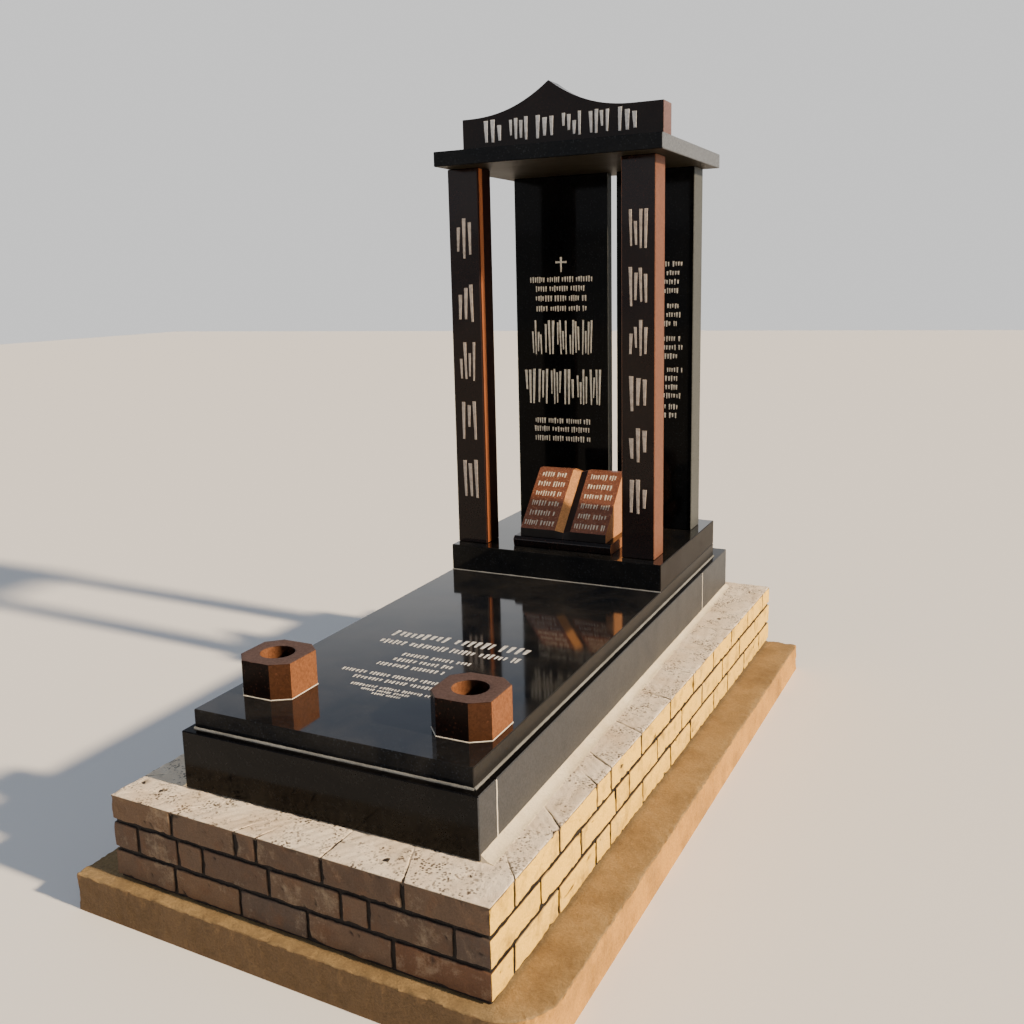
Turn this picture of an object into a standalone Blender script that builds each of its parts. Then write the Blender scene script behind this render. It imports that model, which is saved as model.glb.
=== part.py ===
"""A granite grave monument on a brick plinth.

A poured footing carries three courses of brick. On them stands a box of polished
black granite kerbs, closed by a ledger slab. At the head a plinth slab carries two
red-brown pillars, two black tablets behind them, a roof slab and a peaked name
board. An open stone book stands between the pillars, and two flower vases stand on
the foot of the ledger. X runs across the grave, Y from the foot to the head and Z
up; the origin is on the ground under the middle of the footing.
"""

import math

import bpy
import bmesh
from mathutils import Matrix

# Sizes that hold for the whole monument, in metres.
GAP = 0.0003
ARRIS = 0.0025
FINE_ARRIS = 0.0015
ARRIS_ANGLE = math.radians(40)
SMOOTH_ANGLE = math.radians(25)

# The brick plinth: width, length, and how far it is laid out of square with the granite.
BRICK_W = 1.182
BRICK_L = 2.604
BASE_TURN = math.radians(-1.8)
COURSES = 3
BRICK_H = 0.073
BED_JOINT = 0.010
PERPEND = 0.009
RAKE = 0.007
SHORTEST_BRICK = 0.045
SIDE_PITCH = 0.248

# Lengths of the first bricks of each course, counted from the left end of the front
# and from the foot end of a long side. Further bricks follow at the usual pitch.
FRONT_BRICKS = (
    (0.219, 0.228, 0.217, 0.252),
    (0.091, 0.146, 0.088, 0.221, 0.223, 0.081, 0.235),
    (0.220, 0.221, 0.070, 0.204, 0.235),
)
SIDE_BRICKS = (
    (0.114, 0.250, 0.245, 0.106, 0.268, 0.266, 0.219, 0.284, 0.188),
    (0.259, 0.250, 0.248, 0.108, 0.251, 0.249, 0.233, 0.265),
    (0.122, 0.251, 0.244, 0.106, 0.247, 0.275, 0.246),
)
FRONT_PITCH = 0.232

# The poured footing under the bricks.
FOOTING_H = 0.111
FOOTING_SIDE = 0.128
FOOTING_FRONT = 0.042
FOOTING_REAR = 0.006
FOOTING_ARRIS = 0.006
# Its front right corner was poured round; the other three are square.
FOOTING_CORNER = 0.150
FOOTING_CORNER_STEPS = 8

# The kerb box: a front panel, two side panels and a deeper rear block.
KERB_W = 0.912
KERB_L = 2.398
KERB_H = 0.167
KERB_T = 0.096
KERB_REAR = 0.398
KERB_LEDGE = 0.131
KERB_SHIFT = -0.006

# The ledger slab on the kerbs.
LEDGER_SIDE = 0.0245
LEDGER_FRONT = 0.027
LEDGER_T = 0.056

# The plinth slab at the head, flush with the ledger at its sides and rear.
HEAD_D = 0.756
HEAD_H = 0.102
HEAD_BEHIND = 0.134

# Two pillars near the front of the head plinth.
PILLAR_W = 0.126
PILLAR_D = 0.110
PILLAR_H = 1.448
PILLAR_SPREAD = 0.818
PILLAR_SHIFT = -0.020
PILLAR_SET_BACK = 0.055

# Two tablets behind the pillars with their fronts in line and a narrow gap between
# them. The wide one is a thin slab, the narrow one is thick.
TABLET_W = 0.417
TABLET_T = 0.045
TABLET_NARROW_W = 0.320
TABLET_NARROW_T = 0.120
TABLET_SLOT = 0.036
TABLET_LEFT = -0.383
TABLET_SET_BACK = 0.549

# The roof slab over pillars and tablets.
ROOF_W = 0.872
ROOF_D = 0.758
ROOF_T = 0.053
ROOF_SHIFT = 0.013
ROOF_OVERHANG = 0.060

# The name board on the roof: level shoulders and a peak with hollow flanks.
BOARD_INSET = 0.044
BOARD_SET_BACK = 0.154
BOARD_T = 0.091
BOARD_SHOULDER = 0.127
BOARD_PEAK = 0.108
BOARD_PEAK_RUN = 0.330
BOARD_HOLLOW = 2.3
BOARD_PEAK_SHIFT = -0.039
BOARD_STEPS = 14

# The open book and the block it stands on.
REST_W = 0.406
REST_D = 0.262
REST_H = 0.040
REST_BEVEL = 0.006
REST_SET_BACK = 0.064
BOOK_SHIFT = 0.012
BOOK_W = 0.356
BOOK_LIP = 0.032
BOOK_FOOT = 0.016
BOOK_SLOPE_RUN = 0.200
BOOK_SLOPE_RISE = 0.205
BOOK_TOP_D = 0.030
BOOK_SET_BACK = 0.006
BOOK_GUTTER_W = 0.040
BOOK_GUTTER_DEPTH = 0.016
BOOK_CAMBER = 0.007
PAGE_STEPS = 7

# The two vases: blocks with a round well and uneven cut corners. Each cut is given by
# its run across and along, for the front left, front right, rear right and rear left.
VASE_W = 0.182
VASE_D = 0.187
VASE_H = 0.104
VASE_CUTS = ((0.038, 0.043), (0.050, 0.032), (0.040, 0.036), (0.043, 0.039))
VASE_WALL = 0.042
VASE_FLOOR = 0.020
VASE_WELL_SIDES = 32
VASE_SIDE_LEFT = 0.0285
VASE_SIDE_RIGHT = 0.0225
VASE_FRONT_LEFT = 0.1293
VASE_FRONT_RIGHT = 0.1145

# Levels and places that follow from the sizes above.
COURSE_PITCH = BRICK_H + BED_JOINT
FOOTING_W = BRICK_W + 2 * FOOTING_SIDE
FOOTING_L = BRICK_L + FOOTING_FRONT + FOOTING_REAR
BRICK_FRONT_Y = FOOTING_FRONT - FOOTING_L / 2
KERB_Y0 = BRICK_FRONT_Y + KERB_LEDGE
KERB_Y1 = KERB_Y0 + KERB_L
KERB_Z0 = FOOTING_H + COURSES * COURSE_PITCH
KERB_Z1 = KERB_Z0 + KERB_H
LEDGER_W = KERB_W - 2 * LEDGER_SIDE
LEDGER_Y0 = KERB_Y0 + LEDGER_FRONT
LEDGER_Z1 = KERB_Z1 + LEDGER_T
HEAD_Y1 = KERB_Y1 - HEAD_BEHIND
HEAD_Y0 = HEAD_Y1 - HEAD_D
HEAD_Z1 = LEDGER_Z1 + HEAD_H
ROOF_Z0 = HEAD_Z1 + PILLAR_H
ROOF_Z1 = ROOF_Z0 + ROOF_T
ROOF_Y0 = HEAD_Y0 - ROOF_OVERHANG
REST_Y0 = HEAD_Y0 + REST_SET_BACK


def clear_scene():
    for item in list(bpy.context.scene.objects):
        bpy.data.objects.remove(item, do_unlink=True)


def material(name, colour, roughness, metallic=0.0):
    """A plain finish with the piece's colour."""
    made = bpy.data.materials.new(name)
    made.use_nodes = True
    shader = made.node_tree.nodes["Principled BSDF"]
    shader.inputs["Base Color"].default_value = (*colour, 1.0)
    shader.inputs["Roughness"].default_value = roughness
    shader.inputs["Metallic"].default_value = metallic
    made.diffuse_color = (*colour, 1.0)
    return made


def add_object(name, mesh, finish):
    made = bpy.data.objects.new(name, mesh)
    made.data.materials.append(finish)
    bpy.context.scene.collection.objects.link(made)
    return made


def mesh_from(name, bm):
    bmesh.ops.recalc_face_normals(bm, faces=bm.faces)
    mesh = bpy.data.meshes.new(name)
    bm.to_mesh(mesh)
    bm.free()
    return mesh


def prism(name, outline, axis, low, high):
    """Extrude a closed outline of (a, b) points along an axis from low to high.

    For axis X the points are (y, z), for Y they are (x, z), for Z they are (x, y).
    """
    def place(a, b, c):
        return {"X": (c, a, b), "Y": (a, c, b), "Z": (a, b, c)}[axis]

    bm = bmesh.new()
    base = bm.faces.new([bm.verts.new(place(a, b, low)) for a, b in outline])
    grown = bmesh.ops.extrude_face_region(bm, geom=[base])
    rim = [part for part in grown["geom"] if isinstance(part, bmesh.types.BMVert)]
    step = place(0.0, 0.0, high - low)
    bmesh.ops.translate(bm, verts=rim, vec=step)
    return mesh_from(name, bm)


def arris(item, width=ARRIS):
    """Take the sharp edge off a sawn and polished slab."""
    bevel = item.modifiers.new("arris", "BEVEL")
    bevel.width = width
    bevel.segments = 1
    bevel.limit_method = "ANGLE"
    bevel.angle_limit = ARRIS_ANGLE


def slab(name, x_span, y_span, z_span, finish):
    """A sawn block between two values on each axis, with its arris taken off."""
    x0, x1 = x_span
    y0, y1 = y_span
    outline = [(x0, y0), (x1, y0), (x1, y1), (x0, y1)]
    item = add_object(name, prism(name, outline, "Z", *z_span), finish)
    arris(item)
    return item


def turn_with_base(item):
    """The footing and the bricks are laid a little out of square with the granite."""
    item.data.transform(Matrix.Rotation(BASE_TURN, 4, "Z"))


def joints_along(length, first, pitch):
    """Places of the upright joints along a face: the first bricks, then the usual pitch."""
    places = []
    reach = 0.0
    index = 0
    while True:
        reach += first[index] if index < len(first) else pitch
        index += 1
        if reach > length - SHORTEST_BRICK:
            return places
        places.append(reach)


def course_outline(course):
    """Plan of one brick course: a rectangle notched at each upright joint."""
    half_w = BRICK_W / 2
    y0 = BRICK_FRONT_Y
    y1 = BRICK_FRONT_Y + BRICK_L
    front = joints_along(BRICK_W, FRONT_BRICKS[course % len(FRONT_BRICKS)], FRONT_PITCH)
    side = joints_along(BRICK_L, SIDE_BRICKS[course % len(SIDE_BRICKS)], SIDE_PITCH)
    half = PERPEND / 2
    joint = ((-half, 0.0), (-half, RAKE), (half, RAKE), (half, 0.0))
    points = [(-half_w, y0)]
    for place in front:
        points += [(place - half_w + along, y0 + deep) for along, deep in joint]
    points.append((half_w, y0))
    for place in side:
        points += [(half_w - deep, y0 + place + along) for along, deep in joint]
    points.append((half_w, y1))
    for place in front:
        points += [(half_w - place - along, y1 - deep) for along, deep in joint]
    points.append((-half_w, y1))
    for place in side:
        points += [(-half_w + deep, y1 - place - along) for along, deep in joint]
    return points


def brick_course(course, finish):
    """One course with its raked bed joint under it, as one solid."""
    name = f"brick_course_{course + 1}"
    z0 = FOOTING_H + course * COURSE_PITCH + GAP
    z1 = FOOTING_H + (course + 1) * COURSE_PITCH
    bricks = add_object(name, prism(name, course_outline(course), "Z", z0 + BED_JOINT, z1), finish)
    half_w = BRICK_W / 2 - RAKE
    y0 = BRICK_FRONT_Y + RAKE
    y1 = BRICK_FRONT_Y + BRICK_L - RAKE
    outline = [(-half_w, y0), (half_w, y0), (half_w, y1), (-half_w, y1)]
    bed_mesh = prism(name + "_bed", outline, "Z", z0, z0 + BED_JOINT + BRICK_H / 2)
    bed = add_object(name + "_bed", bed_mesh, finish)
    bed.hide_render = True
    bed.display_type = "WIRE"
    turn_with_base(bricks)
    turn_with_base(bed)
    joined = bricks.modifiers.new("bed", "BOOLEAN")
    joined.operation = "UNION"
    joined.object = bed


def footing(finish):
    """The turned footing's round corner shortens its foot end, so the rear is drawn in as much.

    That keeps the origin under the middle of the whole monument.
    """
    half_w = FOOTING_W / 2
    half_l = FOOTING_L / 2
    rear = half_l - (FOOTING_CORNER - FOOTING_ARRIS) * max(0.0, -math.tan(BASE_TURN))
    middle_x = half_w - FOOTING_CORNER
    middle_y = FOOTING_CORNER - half_l
    outline = [(-half_w, rear), (-half_w, -half_l)]
    for step in range(FOOTING_CORNER_STEPS + 1):
        angle = math.pi / 2 * (step / FOOTING_CORNER_STEPS - 1)
        x = middle_x + FOOTING_CORNER * math.cos(angle)
        y = middle_y + FOOTING_CORNER * math.sin(angle)
        outline.append((x, y))
    outline.append((half_w, rear))
    item = add_object("footing", prism("footing", outline, "Z", 0.0, FOOTING_H), finish)
    turn_with_base(item)
    arris(item, FOOTING_ARRIS)


def kerbs(finish):
    """Front panel and rear block run through; the side panels butt between them."""
    x0 = KERB_SHIFT - KERB_W / 2
    x1 = KERB_SHIFT + KERB_W / 2
    z_span = (KERB_Z0 + GAP, KERB_Z1)
    side_span = (KERB_Y0 + KERB_T + GAP, KERB_Y1 - KERB_REAR - GAP)
    slab("kerb_front", (x0, x1), (KERB_Y0, KERB_Y0 + KERB_T), z_span, finish)
    slab("kerb_rear", (x0, x1), (KERB_Y1 - KERB_REAR, KERB_Y1), z_span, finish)
    slab("kerb_left", (x0, x0 + KERB_T), side_span, z_span, finish)
    slab("kerb_right", (x1 - KERB_T, x1), side_span, z_span, finish)


def ledger_and_head(finish):
    x0 = KERB_SHIFT - LEDGER_W / 2
    x1 = KERB_SHIFT + LEDGER_W / 2
    slab("ledger", (x0, x1), (LEDGER_Y0, HEAD_Y1), (KERB_Z1 + GAP, LEDGER_Z1), finish)
    slab("head_plinth", (x0, x1), (HEAD_Y0, HEAD_Y1), (LEDGER_Z1 + GAP, HEAD_Z1), finish)


def pillars(finish):
    middle = KERB_SHIFT + PILLAR_SHIFT
    half = PILLAR_SPREAD / 2
    y_span = (HEAD_Y0 + PILLAR_SET_BACK, HEAD_Y0 + PILLAR_SET_BACK + PILLAR_D)
    z_span = (HEAD_Z1 + GAP, ROOF_Z0 - GAP)
    slab("pillar_left", (middle - half, middle - half + PILLAR_W), y_span, z_span, finish)
    slab("pillar_right", (middle + half - PILLAR_W, middle + half), y_span, z_span, finish)


def tablets(finish):
    x0 = KERB_SHIFT + TABLET_LEFT
    x1 = x0 + TABLET_W
    x2 = x1 + TABLET_SLOT
    y0 = HEAD_Y0 + TABLET_SET_BACK
    z_span = (HEAD_Z1 + GAP, ROOF_Z0 - GAP)
    slab("tablet_left", (x0, x1), (y0, y0 + TABLET_T), z_span, finish)
    slab("tablet_right", (x2, x2 + TABLET_NARROW_W), (y0, y0 + TABLET_NARROW_T), z_span, finish)


def roof(finish):
    middle = KERB_SHIFT + ROOF_SHIFT
    x_span = (middle - ROOF_W / 2, middle + ROOF_W / 2)
    slab("roof_slab", x_span, (ROOF_Y0, ROOF_Y0 + ROOF_D), (ROOF_Z0, ROOF_Z1), finish)


def name_board(finish):
    """Level shoulders and a peak that rises by a power of the nearness to its middle."""
    middle = KERB_SHIFT + ROOF_SHIFT
    x0 = middle - ROOF_W / 2 + BOARD_INSET
    x1 = middle + ROOF_W / 2 - BOARD_INSET
    peak = middle + BOARD_PEAK_SHIFT
    run = min(BOARD_PEAK_RUN, peak - x0 - ARRIS, x1 - peak - ARRIS)
    shoulder = ROOF_Z1 + BOARD_SHOULDER
    outline = [(x0, ROOF_Z1 + GAP), (x1, ROOF_Z1 + GAP), (x1, shoulder)]
    for step in range(-BOARD_STEPS, BOARD_STEPS + 1):
        away = -step / BOARD_STEPS
        outline.append((peak + away * run, shoulder + BOARD_PEAK * (1 - abs(away)) ** BOARD_HOLLOW))
    outline.append((x0, shoulder))
    y0 = ROOF_Y0 + BOARD_SET_BACK
    item = add_object("name_board", prism("name_board", outline, "Y", y0, y0 + BOARD_T), finish)
    arris(item, FINE_ARRIS)


def book_rest(finish):
    """A low block whose front edge is drawn out to a nose."""
    middle = KERB_SHIFT + BOOK_SHIFT
    y0 = REST_Y0
    y1 = REST_Y0 + REST_D
    z0 = HEAD_Z1 + GAP
    z1 = HEAD_Z1 + REST_H
    nose = [(y0 + 2 * REST_BEVEL, z1), (y0, z1 - 2 * REST_BEVEL), (y0 + REST_BEVEL, z0)]
    outline = [(y1, z0), (y1, z1)] + nose
    mesh = prism("book_rest", outline, "X", middle - REST_W / 2, middle + REST_W / 2)
    item = add_object("book_rest", mesh, finish)
    arris(item, FINE_ARRIS)


def page_height(share):
    """Rise of a page over its plane: a low arch from the fore edge, then down into the gutter.

    The share runs from 0 at the fore edge to 1 at the gutter.
    """
    gutter_share = 2 * BOOK_GUTTER_W / BOOK_W
    if share > 1 - gutter_share:
        fall = (share - 1 + gutter_share) / gutter_share
        return BOOK_CAMBER * (1 - fall) - BOOK_GUTTER_DEPTH * fall
    along = share / (1 - gutter_share)
    return BOOK_CAMBER * math.sin(math.pi / 2 * along)


def book(finish):
    """An open book carved from one block: sloping pages, a lip below and an upright back."""
    middle = KERB_SHIFT + BOOK_SHIFT
    y0 = REST_Y0 + 2 * REST_BEVEL + BOOK_SET_BACK
    z0 = HEAD_Z1 + REST_H + GAP
    slope = math.hypot(BOOK_SLOPE_RUN, BOOK_SLOPE_RISE)
    out_y = -BOOK_SLOPE_RISE / slope
    out_z = BOOK_SLOPE_RUN / slope
    shares = [step / PAGE_STEPS for step in range(PAGE_STEPS)]
    shares += [1 - 2 * BOOK_GUTTER_W / BOOK_W, 1.0]
    shares = sorted(set(shares))
    half = BOOK_W / 2
    across = [(-half + half * share, page_height(share)) for share in shares]
    across += [(half - half * share, page_height(share)) for share in reversed(shares[:-1])]
    bm = bmesh.new()
    rows = []
    for x, rise in across:
        foot_y = y0 + BOOK_FOOT + out_y * rise
        foot_z = z0 + BOOK_LIP + BOOK_FOOT + out_z * rise
        back_y = y0 + BOOK_SLOPE_RUN + BOOK_TOP_D
        top_z = foot_z - BOOK_FOOT + BOOK_SLOPE_RISE
        profile = [
            (y0, z0),
            (y0, z0 + BOOK_LIP),
            (foot_y, foot_z),
            (y0 + BOOK_SLOPE_RUN + out_y * rise, top_z),
            (back_y, top_z),
            (back_y, z0),
        ]
        rows.append([bm.verts.new((middle + x, y, z)) for y, z in profile])
    for row, following in zip(rows, rows[1:]):
        for index in range(len(row)):
            after = (index + 1) % len(row)
            bm.faces.new((row[index], row[after], following[after], following[index]))
    bm.faces.new(rows[0])
    bm.faces.new(list(reversed(rows[-1])))
    item = add_object("book", mesh_from("book", bm), finish)
    item.data.shade_smooth()
    item.data.set_sharp_from_angle(angle=SMOOTH_ANGLE)


def vase(name, x, y, finish):
    """A block with cut corners and a round well sunk from the top."""
    half_w = VASE_W / 2
    half_d = VASE_D / 2
    well_r = half_w - VASE_WALL
    front_left, front_right, rear_right, rear_left = VASE_CUTS
    z0 = LEDGER_Z1 + GAP
    z1 = LEDGER_Z1 + VASE_H
    outline = [
        (x - half_w + front_left[0], y - half_d), (x + half_w - front_right[0], y - half_d),
        (x + half_w, y - half_d + front_right[1]), (x + half_w, y + half_d - rear_right[1]),
        (x + half_w - rear_right[0], y + half_d), (x - half_w + rear_left[0], y + half_d),
        (x - half_w, y + half_d - rear_left[1]), (x - half_w, y - half_d + front_left[1]),
    ]
    item = add_object(name, prism(name, outline, "Z", z0, z1), finish)
    bm = bmesh.new()
    depth = VASE_H - VASE_FLOOR
    bmesh.ops.create_cone(
        bm, cap_ends=True, segments=VASE_WELL_SIDES,
        radius1=well_r, radius2=well_r, depth=2 * depth,
        matrix=Matrix.Translation((x, y, z1)),
    )
    well = add_object(name + "_well", mesh_from(name + "_well", bm), finish)
    well.hide_render = True
    well.display_type = "WIRE"
    hollow = item.modifiers.new("well", "BOOLEAN")
    hollow.operation = "DIFFERENCE"
    hollow.object = well


def vases(finish):
    left = KERB_SHIFT - LEDGER_W / 2 + VASE_SIDE_LEFT + VASE_W / 2
    right = KERB_SHIFT + LEDGER_W / 2 - VASE_SIDE_RIGHT - VASE_W / 2
    vase("vase_left", left, LEDGER_Y0 + VASE_FRONT_LEFT + VASE_D / 2, finish)
    vase("vase_right", right, LEDGER_Y0 + VASE_FRONT_RIGHT + VASE_D / 2, finish)


def build():
    clear_scene()
    concrete = material("ochre concrete", (0.43, 0.27, 0.12), 0.9)
    brick = material("stock brick", (0.42, 0.32, 0.20), 0.9)
    black = material("polished black granite", (0.012, 0.013, 0.015), 0.08)
    red = material("polished red-brown granite", (0.035, 0.016, 0.014), 0.12)
    copper = material("polished copper-brown granite", (0.16, 0.06, 0.03), 0.2)
    footing(concrete)
    for course in range(COURSES):
        brick_course(course, brick)
    kerbs(black)
    ledger_and_head(black)
    pillars(red)
    tablets(black)
    roof(black)
    name_board(red)
    book_rest(copper)
    book(copper)
    vases(copper)


build()
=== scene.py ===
"""A raised granite grave with a pillared head, dressed for a studio picture.

The sections follow the monument as its masons put it up: footing, bricks, mortar,
kerbs, ledger, head plinth, pillars, tablets, roof, name board, book and vases.
Lengths are in metres.
"""

import math

import bmesh
import bpy
import numpy as np
from mathutils import Matrix, Vector


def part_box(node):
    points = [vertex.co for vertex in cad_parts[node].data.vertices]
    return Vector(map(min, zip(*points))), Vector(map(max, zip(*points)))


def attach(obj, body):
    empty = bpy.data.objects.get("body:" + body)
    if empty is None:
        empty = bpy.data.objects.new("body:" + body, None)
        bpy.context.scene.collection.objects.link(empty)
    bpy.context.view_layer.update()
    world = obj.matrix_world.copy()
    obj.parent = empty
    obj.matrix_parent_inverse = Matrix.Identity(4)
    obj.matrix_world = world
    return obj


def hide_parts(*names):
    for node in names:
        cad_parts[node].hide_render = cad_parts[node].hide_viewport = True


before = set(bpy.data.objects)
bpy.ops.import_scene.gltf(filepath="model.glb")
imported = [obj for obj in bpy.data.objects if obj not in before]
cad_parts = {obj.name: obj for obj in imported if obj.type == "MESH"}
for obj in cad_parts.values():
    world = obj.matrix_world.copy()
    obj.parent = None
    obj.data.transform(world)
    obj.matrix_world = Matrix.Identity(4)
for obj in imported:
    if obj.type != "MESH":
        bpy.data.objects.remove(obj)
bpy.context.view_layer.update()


# The studio
# A pale painted floor, an even surround, one far and low key light straight to the right
# of the monument, and a weak lamp in front. The camera stands where a visitor
# stopped to look across the grave from its right front corner.

VIEW_AZIMUTH = math.radians(26.382)
VIEW_DOWN = math.radians(10.562)
VIEW_ROLL = math.radians(-1.416)
VIEW_FROM = (1.4817, -3.0885, 1.7084)
SENSOR = 36.0
PICTURE = 1024
FOCAL_PIXELS = 1014.288
PICTURE_MIDDLE = (497.65, 471.862)

FLOOR_HALF = 30.0
FLOOR_COLOUR = "#efeeeb"
SURROUND_LOW = "#fbfbfb"
SURROUND_HIGH = "#8b94a3"
SURROUND_RISE = (0.24, 0.42)
SURROUND_STRENGTH = 0.95
KEY_BEHIND = math.radians(-2)
KEY_ABOVE = math.radians(28)
KEY_SOFTNESS = math.radians(3)
KEY_STRENGTH = 8.5
KEY_COLOUR = "#ffe4c0"
KEY_FAR = 10
FILL_FROM = (-2.2, -5.5, 3.4)
FILL_AT = (0.0, 0.0, 0.8)
FILL_SIZE = (3.5, 2.5)
FILL_POWER = 18
FILL_COLOUR = "#e8eefc"


def linear(text):
    """Linear RGBA of an sRGB hex colour."""
    parts = np.array([int(text[i:i + 2], 16) for i in (1, 3, 5)]) / 255
    low = parts / 12.92
    high = ((parts + 0.055) / 1.055) ** 2.4
    return (*np.where(parts <= 0.04045, low, high).tolist(), 1.0)


def add(tree, kind, inputs=(), **settings):
    """Add a node with its settings; an input is a value or the socket that feeds it."""
    made = tree.nodes.new(kind)
    for name, value in settings.items():
        setattr(made, name, value)
    for key, value in dict(inputs).items():
        if isinstance(value, bpy.types.NodeSocket):
            tree.links.new(value, made.inputs[key])
        else:
            made.inputs[key].default_value = value
    return made


def link_object(name, data):
    made = bpy.data.objects.new(name, data)
    bpy.context.scene.collection.objects.link(made)
    return made


def aim(item, place, target):
    """Put a lamp at a place and point its -Z at the target."""
    toward = Vector(target) - Vector(place)
    item.matrix_world = Matrix.Translation(place) @ toward.to_track_quat("-Z", "Y").to_matrix().to_4x4()


def softbox(name, place, target, width, height, power, colour):
    lamp = bpy.data.lights.new(name, "AREA")
    lamp.shape = "RECTANGLE"
    lamp.size = width
    lamp.size_y = height
    lamp.energy = power
    lamp.color = linear(colour)[:3]
    aim(link_object(name, lamp), place, target)


def new_material(name):
    """An empty finish: its node tree, its shader and its Object coordinates."""
    made = bpy.data.materials.new(name)
    made.use_nodes = True
    tree = made.node_tree
    shader = tree.nodes["Principled BSDF"]
    place = add(tree, "ShaderNodeTexCoord").outputs["Object"]
    return made, tree, shader, place


back = Vector((
    math.sin(VIEW_AZIMUTH) * math.cos(VIEW_DOWN),
    -math.cos(VIEW_AZIMUTH) * math.cos(VIEW_DOWN),
    math.sin(VIEW_DOWN),
))
level = Vector((math.cos(VIEW_AZIMUTH), math.sin(VIEW_AZIMUTH), 0.0))
upright = back.cross(level)
right = level * math.cos(VIEW_ROLL) + upright * math.sin(VIEW_ROLL)
upward = upright * math.cos(VIEW_ROLL) - level * math.sin(VIEW_ROLL)
camera_data = bpy.data.cameras.new("camera")
camera_data.sensor_width = SENSOR
camera_data.lens = FOCAL_PIXELS / PICTURE * SENSOR
camera_data.shift_x = 0.5 - PICTURE_MIDDLE[0] / PICTURE
camera_data.shift_y = PICTURE_MIDDLE[1] / PICTURE - 0.5
camera = link_object("camera", camera_data)
turn = Matrix((right, upward, back)).transposed().to_4x4()
camera.matrix_world = Matrix.Translation(VIEW_FROM) @ turn
bpy.context.scene.camera = camera

key = bpy.data.lights.new("key", "SUN")
key.energy = KEY_STRENGTH
key.angle = KEY_SOFTNESS
key.color = linear(KEY_COLOUR)[:3]
key_from = Vector((
    math.cos(KEY_ABOVE) * math.cos(KEY_BEHIND),
    math.cos(KEY_ABOVE) * math.sin(KEY_BEHIND),
    math.sin(KEY_ABOVE),
)) * KEY_FAR
aim(link_object("key", key), key_from, (0.0, 0.0, 0.0))
softbox("front_fill", FILL_FROM, FILL_AT, *FILL_SIZE, FILL_POWER, FILL_COLOUR)

surround = bpy.data.worlds.new("surround")
bpy.context.scene.world = surround
surround.use_nodes = True
sky = surround.node_tree
sight = add(sky, "ShaderNodeTexCoord").outputs["Generated"]
height = add(sky, "ShaderNodeSeparateXYZ", {0: sight}).outputs["Z"]
rise = add(sky, "ShaderNodeMapRange", {0: height, 1: SURROUND_RISE[0], 2: SURROUND_RISE[1]},
           interpolation_type="SMOOTHSTEP").outputs[0]
shade = add(sky, "ShaderNodeMix", {0: rise, 6: linear(SURROUND_LOW), 7: linear(SURROUND_HIGH)},
            data_type="RGBA").outputs[2]
sky.nodes["Background"].inputs["Strength"].default_value = SURROUND_STRENGTH
sky.links.new(shade, sky.nodes["Background"].inputs["Color"])

floor_mesh = bpy.data.meshes.new("floor")
floor_mesh.from_pydata(
    [(-FLOOR_HALF, -FLOOR_HALF, 0), (FLOOR_HALF, -FLOOR_HALF, 0),
     (FLOOR_HALF, FLOOR_HALF, 0), (-FLOOR_HALF, FLOOR_HALF, 0)],
    [], [(0, 1, 2, 3)],
)
floor = link_object("floor", floor_mesh)
floor_paint, tree, shader, place = new_material("matt floor paint")
shader.inputs["Base Color"].default_value = linear(FLOOR_COLOUR)
shader.inputs["Roughness"].default_value = 0.9
floor_mesh.materials.append(floor_paint)


# The footing
# Concrete poured in a shallow trench and left rough, stained ochre by the soil. It is
# wider than the bricks and is cut off flat where it goes into the ground.

FOOTING_CORNER = 0.012
FOOTING_ROUND = 0.150
FOOTING_ARRIS = 0.006
FOOTING_STEP = 0.011
FOOTING_INNER = 0.17
BASE_TURN = math.radians(-1.8)
BRICK_W = 1.182
BRICK_L = 2.604
FOOTING_SIDE = 0.128
FOOTING_FRONT = 0.042
FOOTING_REAR = 0.006
# The rear edge is drawn in by what the round corner takes off the turned foot end.
FOOTING_DRAWN_IN = 0.0046
# Height and wavelength of the roughness, the scratches and the crumbled arris.
FOOTING_ROUGH = ((0.0010, 0.12), (0.0009, 0.035), (0.0009, 0.014))
SCRATCH = (0.0013, 0.014)
SCRATCH_STRETCH = (1, 1, 0.15)
CRUMBLE = (0.004, 0.028)
CRUMBLE_REACH = 0.012
WEAR = 0.0024
LEAST_WEAR = 0.0008
INSIDE_SOLID = 0.0003
GROUND_FADE = 0.02
TOP_FADE = 0.03
STAIN_MM = 167
SAND_MM = 6.25


def ripple(points, length, seed, waves=10):
    """Smooth noise of about -1 to 1: a sum of plane sine waves of one rough wavelength.

    Each wave has a random direction, a wavelength of 0.6 to 1.6 times the given one and
    a random phase.
    """
    dice = np.random.default_rng(seed)
    heading = dice.normal(size=(waves, 3))
    heading /= np.linalg.norm(heading, axis=1, keepdims=True)
    pace = 2 * math.pi / (length * dice.uniform(0.6, 1.6, waves))
    phase = dice.uniform(0, 2 * math.pi, waves)
    waves_here = np.sin(points @ (heading * pace[:, None]).T + phase)
    return waves_here.sum(-1) * math.sqrt(2 / waves) / 1.6


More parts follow.
